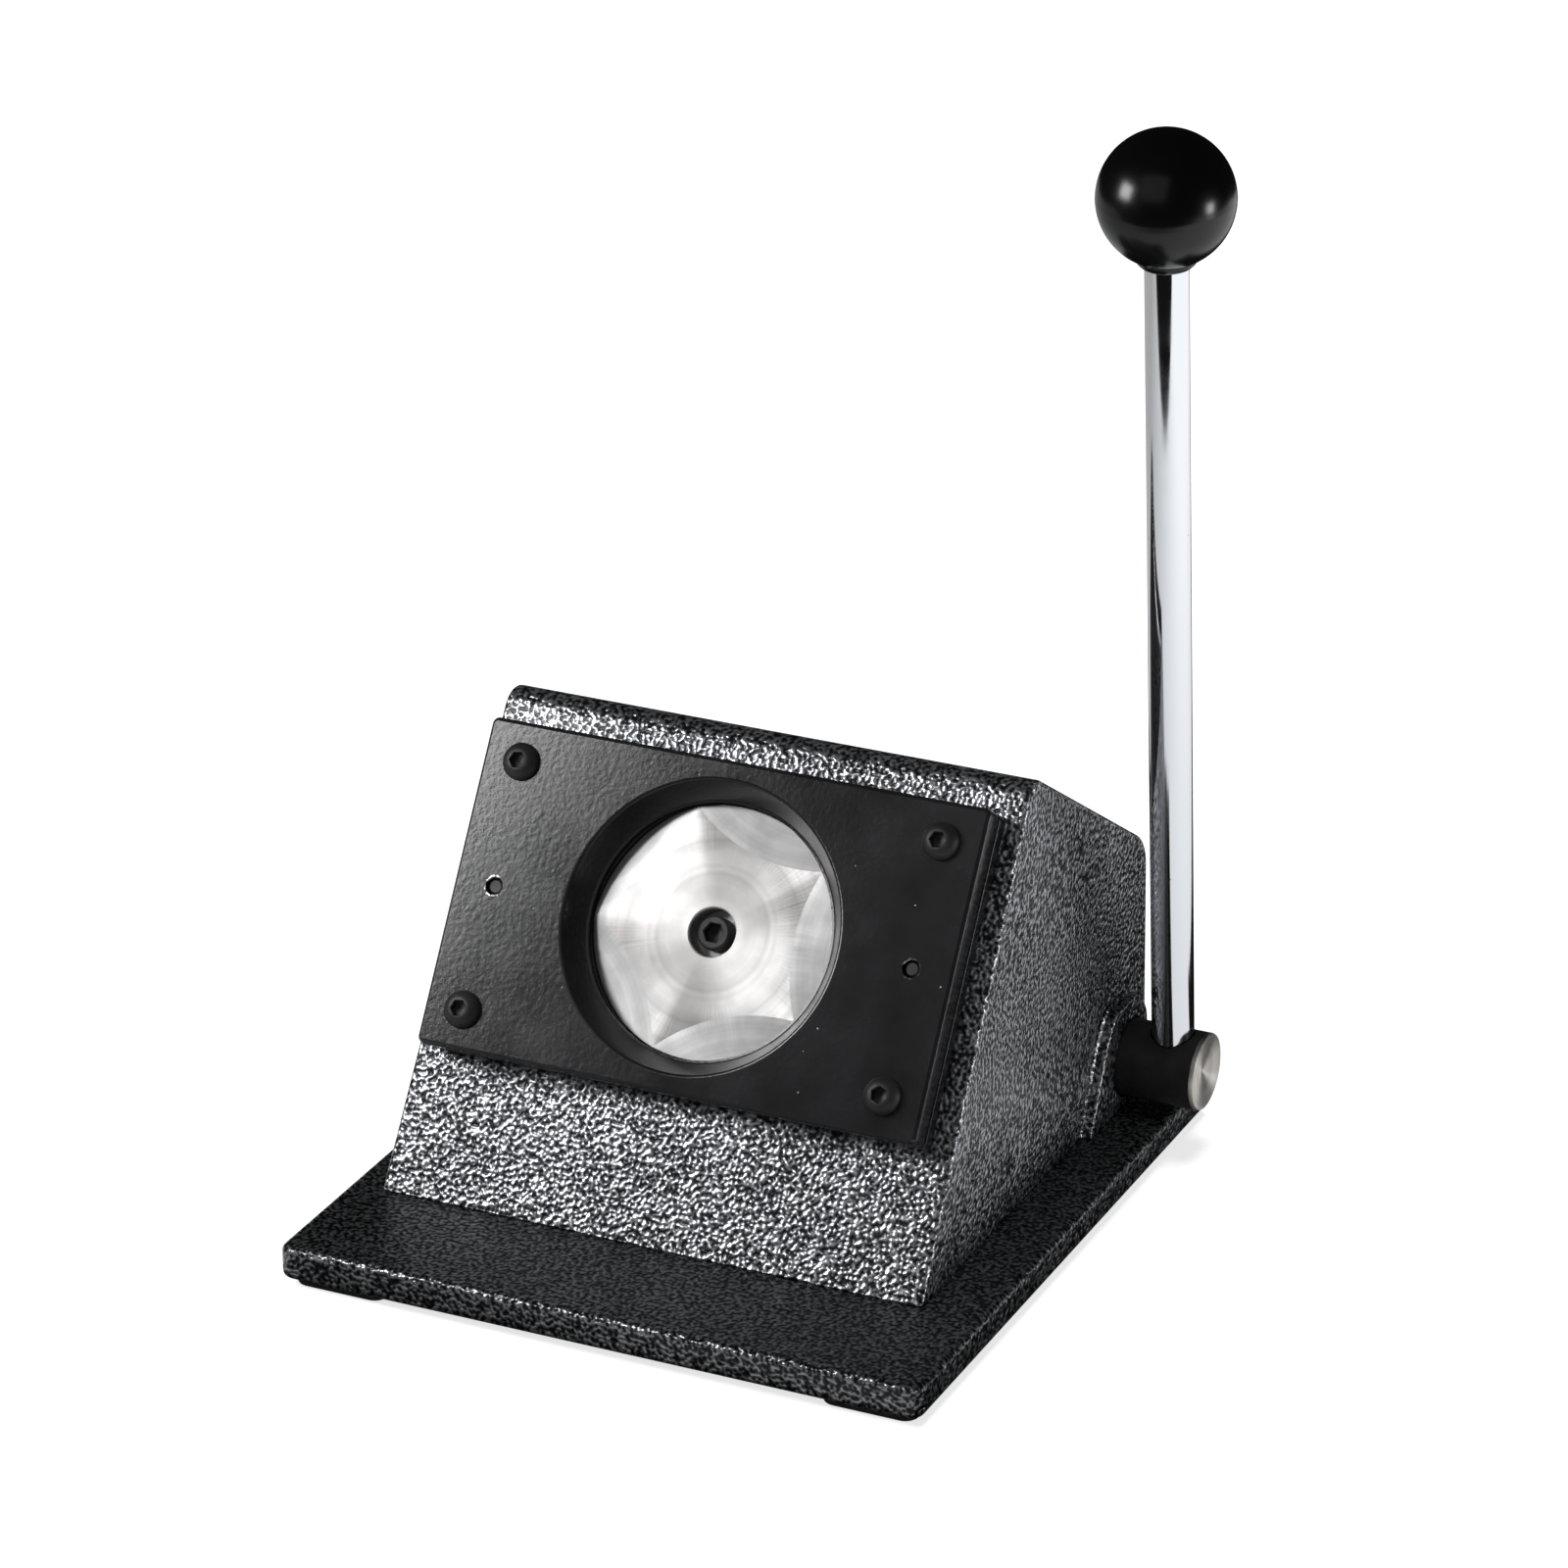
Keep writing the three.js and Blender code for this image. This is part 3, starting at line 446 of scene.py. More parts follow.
def satin_enamel(name, chipped_at):
    """Sprayed satin black enamel on machined plate: a slight orange peel, a few dust pits, and
    chips down to the steel round the pins that were driven after painting."""
    enamel = Finish(name, Specular_IOR_Level=0.35)
    cloud, ragged = enamel.noise(18, Detail=3.0), enamel.noise(1.1, Detail=3.0)
    bare = 0.0
    for point in chipped_at:
        away = enamel.vector("DISTANCE", enamel.at, point, output="Value")
        near = enamel.mapped(away, 0.62, 0.06, 2.3 * MM, 4.0 * MM)
        bare = enamel.math("MAXIMUM", bare, enamel.math("GREATER_THAN", near, ragged))
    colour = add_node(enamel.tree, "ShaderNodeMix", {
        MIX: bare, MIX_A: enamel.toned(cloud, (0.3, "141415"), (0.7, "1b1b1d")),
        MIX_B: srgb("8c8986")}, data_type="RGBA")
    dips = enamel.relief(enamel.specks(9, 0.02, 0.06), 0.15, 0.6)
    return enamel.made(Base_Color=colour.outputs[MIXED], Metallic=bare,
                       Roughness=enamel.mapped(cloud, 0.17, 0.22, 0.3, 0.7),
                       Normal=enamel.relief(enamel.noise(1.5), 0.09, 0.5, dips))


def black_oxide():
    """Black-oxide finish on alloy steel, oiled: nearly black, with a soft metal sheen and
    browner, smoother places where it is handled."""
    oxide = Finish("oiled_black_oxide_steel", Metallic=0.6)
    rub = oxide.noise(6, Detail=4.0)
    return oxide.made(
        Base_Color=oxide.toned(rub, (0.3, "262625"), (0.6, "2f2f30"), (0.8, "3a3632")),
        Roughness=oxide.mapped(rub, 0.6, 0.42), Normal=oxide.relief(oxide.noise(0.4), 0.03, 0.25))


def turned_steel(name, frame_of_part, centre=(0, 0), pitch=0.35, tone=("b4b2b1", "d2d0cf")):
    """Bright steel faced on a lathe: concentric tool marks about the axis spread the light
    into a bow tie, and the marks are drawn coarser than a real feed so that they show."""
    steel = Finish(name, Metallic=1.0, Anisotropic=0.75)
    axis = (frame_of_part.to_3x3() @ Vector((0, 0, 1))).normalized()
    arm = steel.vector("SUBTRACT", steel.at, frame_of_part @ Vector((*centre, 0)))
    radius = steel.vector("LENGTH", steel.vector("CROSS_PRODUCT", axis, arm), output="Value")
    groove = steel.rings(radius, pitch, 3.0)
    tint = steel.math("MULTIPLY", steel.rings(radius, 4.5, 2.0), steel.noise(9, Detail=3.0))
    grain = add_node(steel.tree, "ShaderNodeVectorTransform", {0: arm},
                     vector_type="VECTOR", convert_from="OBJECT", convert_to="WORLD")
    return steel.made(Tangent=grain.outputs["Vector"],
                      Base_Color=steel.toned(tint, (0.12, tone[0]), (0.34, tone[1])),
                      Roughness=steel.mapped(groove, 0.48, 0.6),
                      Normal=steel.relief(groove, 0.02, 0.35))


def plain_metal(name, low, high, roughness, grain=0.5):
    """A bare or plated metal with faint grinding grain, for pins, rings and springs."""
    metal = Finish(name, Metallic=1.0)
    mark = metal.noise(grain, Detail=3.0)
    return metal.made(Base_Color=metal.toned(mark, (0.3, low), (0.7, high)),
                      Roughness=metal.mapped(mark, roughness - 0.06, roughness + 0.06))


def chrome_plating():
    """Bright chromium plate on a polished rod: a mirror with the odd pinhole in the plate."""
    chrome = Finish("chrome_plated_steel", Metallic=1.0)
    return chrome.made(
        Base_Color=chrome.toned(chrome.specks(7, 0.015, 0.045), (0.0, "6e7073"), (1.0, "dfe1e4")),
        Roughness=chrome.mapped(chrome.noise(14, Detail=4.0), 0.05, 0.13, 0.35, 0.75))


def moulded_phenolic():
    """Compression-moulded black phenolic, buffed: deep black and glossy, with slow waves."""
    phenolic = Finish("buffed_black_phenolic", Base_Color=srgb("060607"), Specular_IOR_Level=0.35)
    return phenolic.made(Roughness=phenolic.mapped(phenolic.noise(2, Detail=3.0), 0.2, 0.26),
                         Normal=phenolic.relief(phenolic.noise(7, Detail=1.0), 0.1, 0.15))


def moulded_rubber():
    """Moulded nitrile rubber feet: matt, slightly dusty black."""
    rubber = Finish("moulded_black_rubber")
    dust = rubber.noise(3, Detail=5.0)
    return rubber.made(Base_Color=rubber.toned(dust, (0.35, "0f0f10"), (0.75, "1d1d1e")),
                       Roughness=rubber.mapped(dust, 0.7, 0.95))


FINISHES = {
    # Both hammertones carry painted shade in their dimples and a painted highlight on their
    # crests; the base's colours are darker still, partly as painted shade for its upward-facing
    # top
    "hammertone_black": hammertone_paint(
        "hammertone_with_painted_light_on_casting", "313235", "7c7e82", "b2b5b8"),
    "hammertone_base": hammertone_paint(
        "darkened_hammertone_with_painted_light_on_base", "1d1e20", "505254", "86888a"),
    "satin_black_enamel": satin_enamel(
        "satin_black_enamel", [PUNCH @ Vector((*spot, DIE_FACE)) for spot in dowel_spots]),
    "black_oxide_steel": black_oxide(),
    "turned_steel": plain_metal("ground_steel", "a5a4a1", "c6c5c2", 0.3),
    "spring_steel": plain_metal("oil_tempered_spring_steel", "4d4f52", "75787c", 0.4),
    "sintered_bronze": plain_metal("oil_sintered_bronze", "8d6a3a", "b08a52", 0.45, grain=0.25),
    "chrome_plate": chrome_plating(),
    "gloss_phenolic": moulded_phenolic(),
    "black_rubber": moulded_rubber(),
}


def place(piece, matrix, body, slot, *nodes, finishes=None):
    """Smooths a piece, puts it where it belongs, paints it with its slot's finish or with its
    own, and lets it stand for its CAD nodes."""
    smoothed(piece).data.transform(matrix)
    chosen = [polygon.material_index for polygon in piece.data.polygons]
    piece.data.materials.clear()
    for finish in finishes or [FINISHES[slot]]:
        piece.data.materials.append(finish)
    piece.data.polygons.foreach_set("material_index", chosen)
    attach(piece, body)
    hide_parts(*nodes)
    return piece


# ---------------- repeats in geometry nodes
def new_pattern(name, made, **given):
    """An empty geometry node tree, from the kinds of its inputs by name."""
    tree = bpy.data.node_groups.new(name, "GeometryNodeTree")
    for socket, kind in given.items():
        tree.interface.new_socket(socket, in_out="INPUT", socket_type="NodeSocket" + kind)
    tree.interface.new_socket(made, in_out="OUTPUT", socket_type="NodeSocketGeometry")
    return tree, add_node(tree, "NodeGroupInput").outputs


def corner_pattern():
    """Sets the incoming piece on the four corners of a rectangle, each turned a little
    differently, as screws are when they are tightened."""
    tree, given = new_pattern("four_corners", "Set", Piece="Geometry", Across="Float",
                              Along="Float", Turn="Float")
    grid = add_node(tree, "GeometryNodeMeshGrid", {
        "Size X": given["Across"], "Size Y": given["Along"], "Vertices X": 2, "Vertices Y": 2})
    most = add_node(tree, "ShaderNodeCombineXYZ", {"Z": given["Turn"]})
    turn = add_node(tree, "FunctionNodeRandomValue", {
        "Max": most.outputs["Vector"], "Seed": 4}, data_type="FLOAT_VECTOR")
    spread = add_node(tree, "GeometryNodeInstanceOnPoints", {
        "Points": grid.outputs["Mesh"], "Instance": given["Piece"],
        "Rotation": turn.outputs["Value"]})
    real = add_node(tree, "GeometryNodeRealizeInstances", {
        "Geometry": spread.outputs["Instances"]})
    add_node(tree, "NodeGroupOutput", {"Set": real.outputs["Geometry"]})
    return tree


def wire_sweep():
    """Sweeps round wire along the incoming line and closes its ends."""
    tree, given = new_pattern("wire_along_line", "Wire", Line="Geometry", Radius="Float")
    line = add_node(tree, "GeometryNodeMeshToCurve", {"Mesh": given["Line"]})
    section = add_node(tree, "GeometryNodeCurvePrimitiveCircle", {
        "Resolution": 16, "Radius": given["Radius"]})
    swept = add_node(tree, "GeometryNodeCurveToMesh", {
        "Curve": line.outputs["Curve"], "Profile Curve": section.outputs["Curve"],
        "Fill Caps": True})
    add_node(tree, "NodeGroupOutput", {"Wire": swept.outputs["Mesh"]})
    return tree


def grown(piece, tree, **values):
    """Runs a node tree on a piece and keeps the result as a plain mesh."""
    modifier = piece.modifiers.new("pattern", "NODES")
    modifier.node_group = tree
    for item in tree.interface.items_tree:
        if item.in_out == "INPUT" and item.name in values:
            modifier[item.identifier] = float(values[item.name])
    return settled(piece)


four_corners = corner_pattern()


# ---------------- base and feet
def base_plate():
    stock = stacked(rectangle(BASE_WIDE, BASE_DEEP, BASE_CORNER),
                    rounded_levels(BASE_LOW, BASE_TOP, BASE_EDGE, BASE_EDGE))
    return combined("base_plate_cast", stock, [
        cutter for spot in fixing_spots for cutter in (
            *holes([spot], M6_SHANK + GAP, BASE_LOW - 1, BASE_TOP + 1),
            *holes([spot], CAP_HEAD + 2 * GAP, BASE_LOW - 1, BASE_LOW + CAP_DEEP + 1))])


place(base_plate(), TABLE, "root", "hammertone_base", "base_plate")

foot = as_object("rubber_feet", stacked(rectangle(FOOT_LONG, FOOT_WIDE, FOOT_CORNER),
                                        rounded_levels(0, BASE_LOW, 0.6, 0.2, 4)))
feet = grown(foot, four_corners, Across=BASE_WIDE - 2 * FOOT_INSET - FOOT_LONG,
             Along=BASE_DEEP - 2 * FOOT_INSET - FOOT_WIDE, Turn=0)
place(feet, TABLE, "root", "black_rubber",
      "foot_front_left", "foot_front_right", "foot_back_left", "foot_back_right")


# ---------------- housing
def housing_solid(inset, foot, edge):
    """The housing's outside, or its hollow: a side outline carried across, with draft. The
    top runs parallel to the punch axis, so it meets the sloping face at a right angle."""
    up = Vector((math.cos(FACE_TILT), math.sin(FACE_TILT)))
    out = Vector((up.y, -up.x))
    front = Vector((BODY_FRONT - BASE_DEEP / 2, BASE_TOP)) + out * inset
    ridge = front + up * (BODY_SLOPE - inset)
    back = BODY_BACK - BASE_DEEP / 2 - inset
    shoulder = Vector((back, ridge.y - (back - ridge.x) / math.tan(FACE_TILT)))
    low = Vector((front.x + (foot - front.y) / math.tan(FACE_TILT), foot))
    outline = rounded([low, (back, foot), shoulder, ridge],
                      [0, 0, max(SHOULDER_ROUND - inset, 5), max(RIDGE_ROUND - inset, 4)], 10)
    half = BODY_WIDE / 2 - inset
    bm = stacked(outline, rounded_levels(-half, half, edge, edge, 8))
    for vertex in bm.verts:
        along, height, across = vertex.co
        rise = (height - BASE_TOP) / BODY_HEIGHT
        share = ((BODY_WIDE + (BODY_NARROW - BODY_WIDE) * rise) / 2 - inset) / half
        vertex.co = (BODY_FROM_SHAFT + across * share, along, height)
    return bm


TO_TABLE = TABLE.inverted()


def in_table(bm, matrix):
    """Redraws a part's drawing in the table's frame."""
    return moved(bm, TO_TABLE @ matrix)


def bearing_pad():
    """A bearing pad on a side wall: a cove at its foot, an upright side and a soft rim."""
    low = BASE_TOP + GAP - 2 - shaft_at.z / MM
    corners = [(PAD_REAR, low), (PAD_REAR, PAD_TOP / 2), (PAD_REAR - 6, PAD_TOP),
               (-0.4 * PAD_FRONT, PAD_TOP), (-0.6 * PAD_FRONT, PAD_TOP / 2),
               (-0.8 * PAD_FRONT, -3), (-PAD_FRONT, low)]
    outline = rounded(corners, [0, 9, 9, 7, 20, 20, 0])
    cove = [(-0.9, HALF_BODY - BODY_WALL - 1), (-0.9, HALF_BODY - 0.2), (-0.5, HALF_BODY + 0.1),
            (-0.2, HALF_BODY + 0.3), (0, HALF_BODY + 0.8)]
    rim = rounded_levels(HALF_BODY - BODY_WALL, HALF_BODY + PAD_PROUD, 0, 0.9, 5)[1:]
    return stacked(outline, cove + rim)


def bearing_boss():
    return rod(PAD_BOSS, HALF_BODY - BUSH_LONG, HALF_BODY - 1, 0.8)


def plate_holes(screw_low, pin_low, high, mouth=0.0):
    """Holes for the screws and the dowels that hold the two plates on the slope."""
    return (holes(screw_spots, M6_SHANK + GAP, screw_low, high)
            + holes(dowel_spots, DOWEL_RADIUS + GAP, pin_low, high, mouth))


def body_casting():
    floor = BASE_TOP + GAP
    shell = as_object("casting", housing_solid(0, floor - 12, BODY_EDGE))
    hollow = housing_solid(BODY_WALL, floor - 14, 0)
    cup = in_table(turned([
        (0, BUSH_BACK), (CUP_STEM - 1, BUSH_BACK), (CUP_STEM, BUSH_BACK + 1),
        (CUP_STEM + 2, CHAMBER_FLOOR - 8), (CUP_RIM, CHAMBER_FLOOR - 6), (CUP_RIM, -1),
        (0, -1)]), PUNCH)
    posts = [moved(rod(POST_RADIUS, floor - 6, BASE_TOP + POST_HIGH + 5, 1.0), (x, y, 0))
             for x, y in fixing_spots]
    added = [combined("inner", part, [housing_solid(0.5, floor - 12, BODY_EDGE)], "INTERSECT")
             for part in [cup, *posts]]
    combined("casting", shell, [hollow])
    added += [in_table(moved(draw(), Matrix.Diagonal((1, 1, side, 1)), (0, 0, BODY_FROM_SHAFT)),
                       SHAFT) for draw in (bearing_pad, bearing_boss) for side in (1, -1)]
    combined("casting", shell, added, "UNION")
    cuts = [stacked(rectangle(2 * OUTSIDE, 2 * OUTSIDE, 1), [(0, -OUTSIDE), (0, floor)])]
    cuts += [in_table(cut, PUNCH) for cut in (
        turned([(0, CHAMBER_FLOOR), (CHAMBER_RADIUS, CHAMBER_FLOOR), (CHAMBER_RADIUS, 20),
                (0, 20)]),
        hole(BUSH_OUTER + GAP, BUSH_BACK - 1, 20))]
    cuts += [in_table(hole(radius, low, high), SHAFT) for radius, low, high in (
        (SHAFT_BIG + 2 * GAP, 20, OUTSIDE),
        (SHAFT_BIG + BUSH_WALL + GAP, 20, BODY_FROM_SHAFT + HALF_BODY),
        (SHAFT_SMALL + 2 * GAP, -OUTSIDE, -20),
        (SHAFT_SMALL + BUSH_WALL + GAP, BODY_FROM_SHAFT - HALF_BODY, -20))]
    cuts += holes(fixing_spots, M6_SHANK + GAP, 0, BASE_TOP + POST_HIGH)
    cuts += [in_table(cut, PUNCH) for cut in plate_holes(-40, -5, 20)]
    return combined("body_casting_finished", shell, cuts)


place(body_casting(), TABLE, "root", "hammertone_black", "body_casting")


# ---------------- die set
def guide_plate():
    outline = rectangle(PLATE_WIDE, PLATE_TALL, PLATE_CORNER)
    stock = stacked(outline, rounded_levels(GAP, GUIDE_FACE, 0.4, 0.4, 3))
    channel = stacked(rectangle(PLATE_WIDE - 2 * RAIL_WIDE, 2 * PLATE_TALL, 0.5, 2),
                      [(0, GUIDE_FACE - CHANNEL_DEEP), (0, GUIDE_FACE + 1)])
    bore = hole(PUNCH_RADIUS + GAP, -1, GUIDE_FACE + 1, steps=128)
    return combined("guide_plate_enamelled", stock,
                    [channel, bore, *plate_holes(-1, -1, GUIDE_FACE + 1)])


def die_plate():
    """The die plate, with paint-softened edges and a window that widens to a soft rim."""
    c, soft = DIE_CHAMFER, 0.15
    stock = stacked(rectangle(PLATE_WIDE, PLATE_TALL, PLATE_CORNER), [
        (c, DIE_BACK), (soft, DIE_BACK + c - soft), (0, DIE_BACK + c + soft),
        (0, DIE_FACE - c - soft), (soft, DIE_FACE - c + soft), (c - soft, DIE_FACE - 0.12),
        (c + 0.2, DIE_FACE)])
    window = turned([
        (0, DIE_BACK - 1), (WINDOW_LAND, DIE_BACK - 1), (WINDOW_LAND, DIE_BACK + LAND_DEEP),
        (WINDOW_THROAT, DIE_BACK + LAND_DEEP + 0.1), (WINDOW_MOUTH - 0.3, DIE_FACE - 0.6),
        (WINDOW_MOUTH - 0.05, DIE_FACE - 0.25), (WINDOW_MOUTH + 0.35, DIE_FACE - 0.04),
        (WINDOW_MOUTH + 0.9, DIE_FACE + 0.01), (WINDOW_MOUTH + 1, DIE_FACE + 1),
        (0, DIE_FACE + 1)], 160)
    return combined("die_plate_enamelled", stock,
                    [window, *plate_holes(DIE_BACK - 1, DIE_BACK - 1, DIE_FACE, 0.3)])


place(guide_plate(), PUNCH, "root", "satin_black_enamel", "guide_plate")
place(die_plate(), PUNCH, "root", "satin_black_enamel", "die_plate")


def button_screw():
    """A button-head screw with a hexagon socket."""
    seat = DIE_FACE + GAP
    dome = [(5.1, 0), (5.25, 0.15), (5.2, 0.7), (4.95, 1.3), (4.5, 1.95), (3.9, 2.5), (3.2, 2.9),
            (2.7, 3.06), (0, 3.1)]
    stock = turned([(0, -14), (M6_SHANK - 0.6, -14), (M6_SHANK, -13.4), (M6_SHANK, seat),
                    *((radius, seat + rise) for radius, rise in dome)], 64)
    return combined("die_screws", stock, [socket_cutter(4, seat + 1.1, seat + 3.1)])


screws = grown(button_screw(), four_corners, Across=SCREW_ACROSS, Along=SCREW_ALONG,
               Turn=SCREW_TURN)
place(screws, PUNCH, "root", "black_oxide_steel",
      "die_screw_top_left", "die_screw_top_right", "die_screw_low_left", "die_screw_low_right")

for spot, where in zip(dowel_spots, ("left", "right")):
    pin = moved(rod(DOWEL_RADIUS, -4.5, DIE_FACE - 1.1, 0.35, 48), (*spot, 0))
    place(as_object(f"dowel_{where}", pin), PUNCH, "root", "black_oxide_steel",
          f"dowel_pin_{where}")


def body_screw():
    """A socket-head cap screw, driven up through the base into a post of the casting."""
    seat = BASE_LOW + CAP_DEEP + 1 - GAP
    low, tip = seat - CAP_DEEP, BASE_TOP + 21
    stock = turned([
        (0, low), (CAP_HEAD - 0.5, low), (CAP_HEAD, low + 0.5), (CAP_HEAD, seat),
        (M6_SHANK, seat), (M6_SHANK, tip - 0.6), (M6_SHANK - 0.6, tip), (0, tip)], 64)
    return combined("body_screws", stock,
                    [moved(socket_cutter(5, -3, 0), FLIPPED, (0, 0, low))])


fixings = grown(body_screw(), four_corners, Across=2 * FIXING_X,
                Along=FIXING_BACK - FIXING_FRONT, Turn=SCREW_TURN)
among_fixings = (BODY_FROM_SHAFT, BODY_MIDDLE + (FIXING_FRONT + FIXING_BACK) / 2, 0)
place(fixings, TABLE @ Matrix.Translation(among_fixings), "root", "black_oxide_steel",
      "body_screw_front_left", "body_screw_front_right", "body_screw_back_left",
      "body_screw_back_right")


# ---------------- punch and ram
scallop_at = PUNCH_RADIUS * SCALLOP_REACH + SCALLOP_RADIUS
scallop_turns = [FIRST_TIP + math.pi / SCALLOPS * (2 * i + 1) for i in range(SCALLOPS)]
scallop_centres = [polar(scallop_at, turn) for turn in scallop_turns]


def punch():
    """The punch's face is a five-point star: five cuts slope down from it to the rim, so that
    the edge shears the paper bit by bit, and each keeps the arc-shaped marks of its cut."""
    stock = turned([
        (0, PUNCH_BACK), (PUNCH_RADIUS - 1, PUNCH_BACK), (PUNCH_RADIUS, PUNCH_BACK + 1),
        (PUNCH_RADIUS, PUNCH_FACE), (0, PUNCH_FACE)], 160)
    top = PUNCH_FACE
    slope = SCALLOP_DEEP / (PUNCH_RADIUS - PUNCH_RADIUS * SCALLOP_REACH)
    cutters = [moved(turned([(0, top - slope * SCALLOP_RADIUS), (SCALLOP_RADIUS, top),
                             (SCALLOP_RADIUS + 1, top + slope), (SCALLOP_RADIUS + 1, top + 5),
                             (0, top + 5)], 256), (x, y, 0)) for x, y in scallop_centres]
    cutters += [hole(RECESS_RADIUS, top - RECESS_DEEP, top, 0.35, 96),
                hole(M6_SHANK + GAP, PUNCH_BACK - 1, top)]
    piece = combined("punch_star_face", stock, cutters)
    for polygon in piece.data.polygons:
        away = [math.dist(polygon.center.xy, centre) for centre in scallop_centres]
        slopes = 0.9 < polygon.normal.z < 0.999
        if slopes and min(away) < SCALLOP_RADIUS:
            polygon.material_index = 1 + away.index(min(away))
    return piece


def punch_screw():
    """A socket-head cap screw, sunk in the punch's face."""
    seat = PUNCH_FACE - RECESS_DEEP + GAP
    tip, head = PUNCH_BACK - 16, seat + 5.6
    stock = turned([
        (0, tip), (M6_SHANK - 0.6, tip), (M6_SHANK, tip + 0.6), (M6_SHANK, seat), (4.7, seat),
        (4.7, head - 0.5), (4.2, head), (0, head)], 64)
    return combined("punch_cap_screw", stock, [socket_cutter(5, head - 3, head)])


marks = [turned_steel(f"milled_tool_steel_{i + 1}", PUNCH, centre, 0.5, ("acacac", "cac9c9"))
         for i, centre in enumerate(scallop_centres)]
place(punch(), PUNCH, "ram", "turned_steel", "punch",
      finishes=[turned_steel("faced_tool_steel", PUNCH), *marks])
place(punch_screw(), PUNCH, "ram", "black_oxide_steel", "punch_screw")

SEAT_LOW = ROLLER_REST + 12
RAM_TOP, RAM_LOW = PUNCH_BACK - GAP, ROLLER_REST - FORK_REACH


def ram():
    r, groove = RAM_RADIUS, RAM_RADIUS - RING_GROOVE
    stock = turned([
        (0, RAM_LOW), (r - 1, RAM_LOW), (r, RAM_LOW + 1), (r, SEAT_LOW - 2.6),
        (groove, SEAT_LOW - 2.6), (groove, SEAT_LOW - 0.8), (r, SEAT_LOW - 0.8),
        (r, RAM_TOP - 1), (r - 1, RAM_TOP), (0, RAM_TOP)])
    slot = stacked(rectangle(RAM_SLOT, 40, 0.5, 2),
                   [(0, RAM_LOW - 1), (0, ROLLER_REST + ROLLER_RADIUS + 2)])
    cross = moved(hole(ROLLER_PIN + GAP, -20, 20), ROLLER_Z_TO_PUNCH)
    thread = hole(M6_SHANK + GAP, RAM_TOP - 20, RAM_TOP, 0.5)
    return combined("ram_ground", stock, [slot, cross, thread])


place(ram(), PUNCH, "ram", "turned_steel", "ram")
ram_bore, half_roller, half_axle = RAM_RADIUS + GAP, ROLLER_WIDE / 2, RAM_RADIUS - 1.4
roller = sleeve(ROLLER_PIN + GAP, ROLLER_RADIUS, -half_roller, half_roller, 0.5)
for name, drawing, body, slot, node in (
    ("ram_guide_bush", sleeve(ram_bore, BUSH_OUTER, BUSH_BACK, BUSH_FRONT - GAP, 0.5),
     "root", "sintered_bronze", "ram_bush"),
    ("spring_seat_washer", sleeve(ram_bore, SEAT_OUTER, SEAT_LOW, SEAT_LOW + SEAT_THICK, 0.4),
     "ram", "black_oxide_steel", "spring_seat"),
    ("seat_snap_ring", sleeve(ram_bore - RING_GROOVE, RAM_RADIUS + 2.4, SEAT_LOW - 2.3,
                              SEAT_LOW - 1.1, 0.15), "ram", "spring_steel", "seat_ring"),
    ("cam_roller_ground", moved(roller, ROLLER_Z_TO_PUNCH),
     "roller", "turned_steel", "cam_roller"),
    ("roller_axle", moved(rod(ROLLER_PIN, -half_axle, half_axle, 0.4), ROLLER_Z_TO_PUNCH),
     "ram", "turned_steel", "roller_pin")):
    place(as_object(name, drawing), PUNCH, body, slot, node)


def return_spring():
    """A compression spring round the ram, its end turns closed flat."""
    low = SEAT_LOW + SEAT_THICK + GAP + SPRING_WIRE
    high = BUSH_BACK - GAP - SPRING_WIRE
    closed, flat_pitch, per_turn = 0.8, 0.12, 40
    open_turns = SPRING_TURNS - 2 * closed
    total = open_turns + 2 * closed * flat_pitch
    bm = bmesh.new()
    last = None
    for i in range(round(SPRING_TURNS * per_turn) + 1):
        turn = i / per_turn
        rise = (min(turn, closed) * flat_pitch + min(max(turn - closed, 0), open_turns)
                + max(turn - closed - open_turns, 0) * flat_pitch) / total
        point = bm.verts.new((*polar(SPRING_MEAN, 2 * math.pi * turn), low + rise * (high - low)))
        if last:
            bm.edges.new((last, point))
        last = point
    return grown(as_object("return_spring_wire", bm), wire_sweep(), Radius=SPRING_WIRE)


spring = place(return_spring(), PUNCH, "root", "spring_steel", "return_spring")
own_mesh(spring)


# ---------------- shaft, cam and lever
LEFT_WALL = BODY_FROM_SHAFT - HALF_BODY
OUTER_RING = LEFT_WALL - PAD_PROUD - 2.8        # just outside the thrust washer
INNER_RING = LEFT_WALL + BUSH_LONG + 1.4
PIN_AT = -CAM_THICK / 2 - CAM_HUB_LONG / 2
CAM_TURN = Matrix.Rotation(math.pi / 2 + FACE_TILT, 4, "Z")
TO_CAM = Matrix.Translation((0, 0, PUNCH_X))
SHAFT_END = 1.4                 # the bright length at the shaft's end


def through_hub(bm):
    """Turns a pin, or its hole, across the shaft and sets it in the cam's hub."""
    return moved(bm, Matrix.Rotation(math.pi / 2, 4, "X"), (0, 0, PIN_AT), CAM_TURN, TO_CAM)


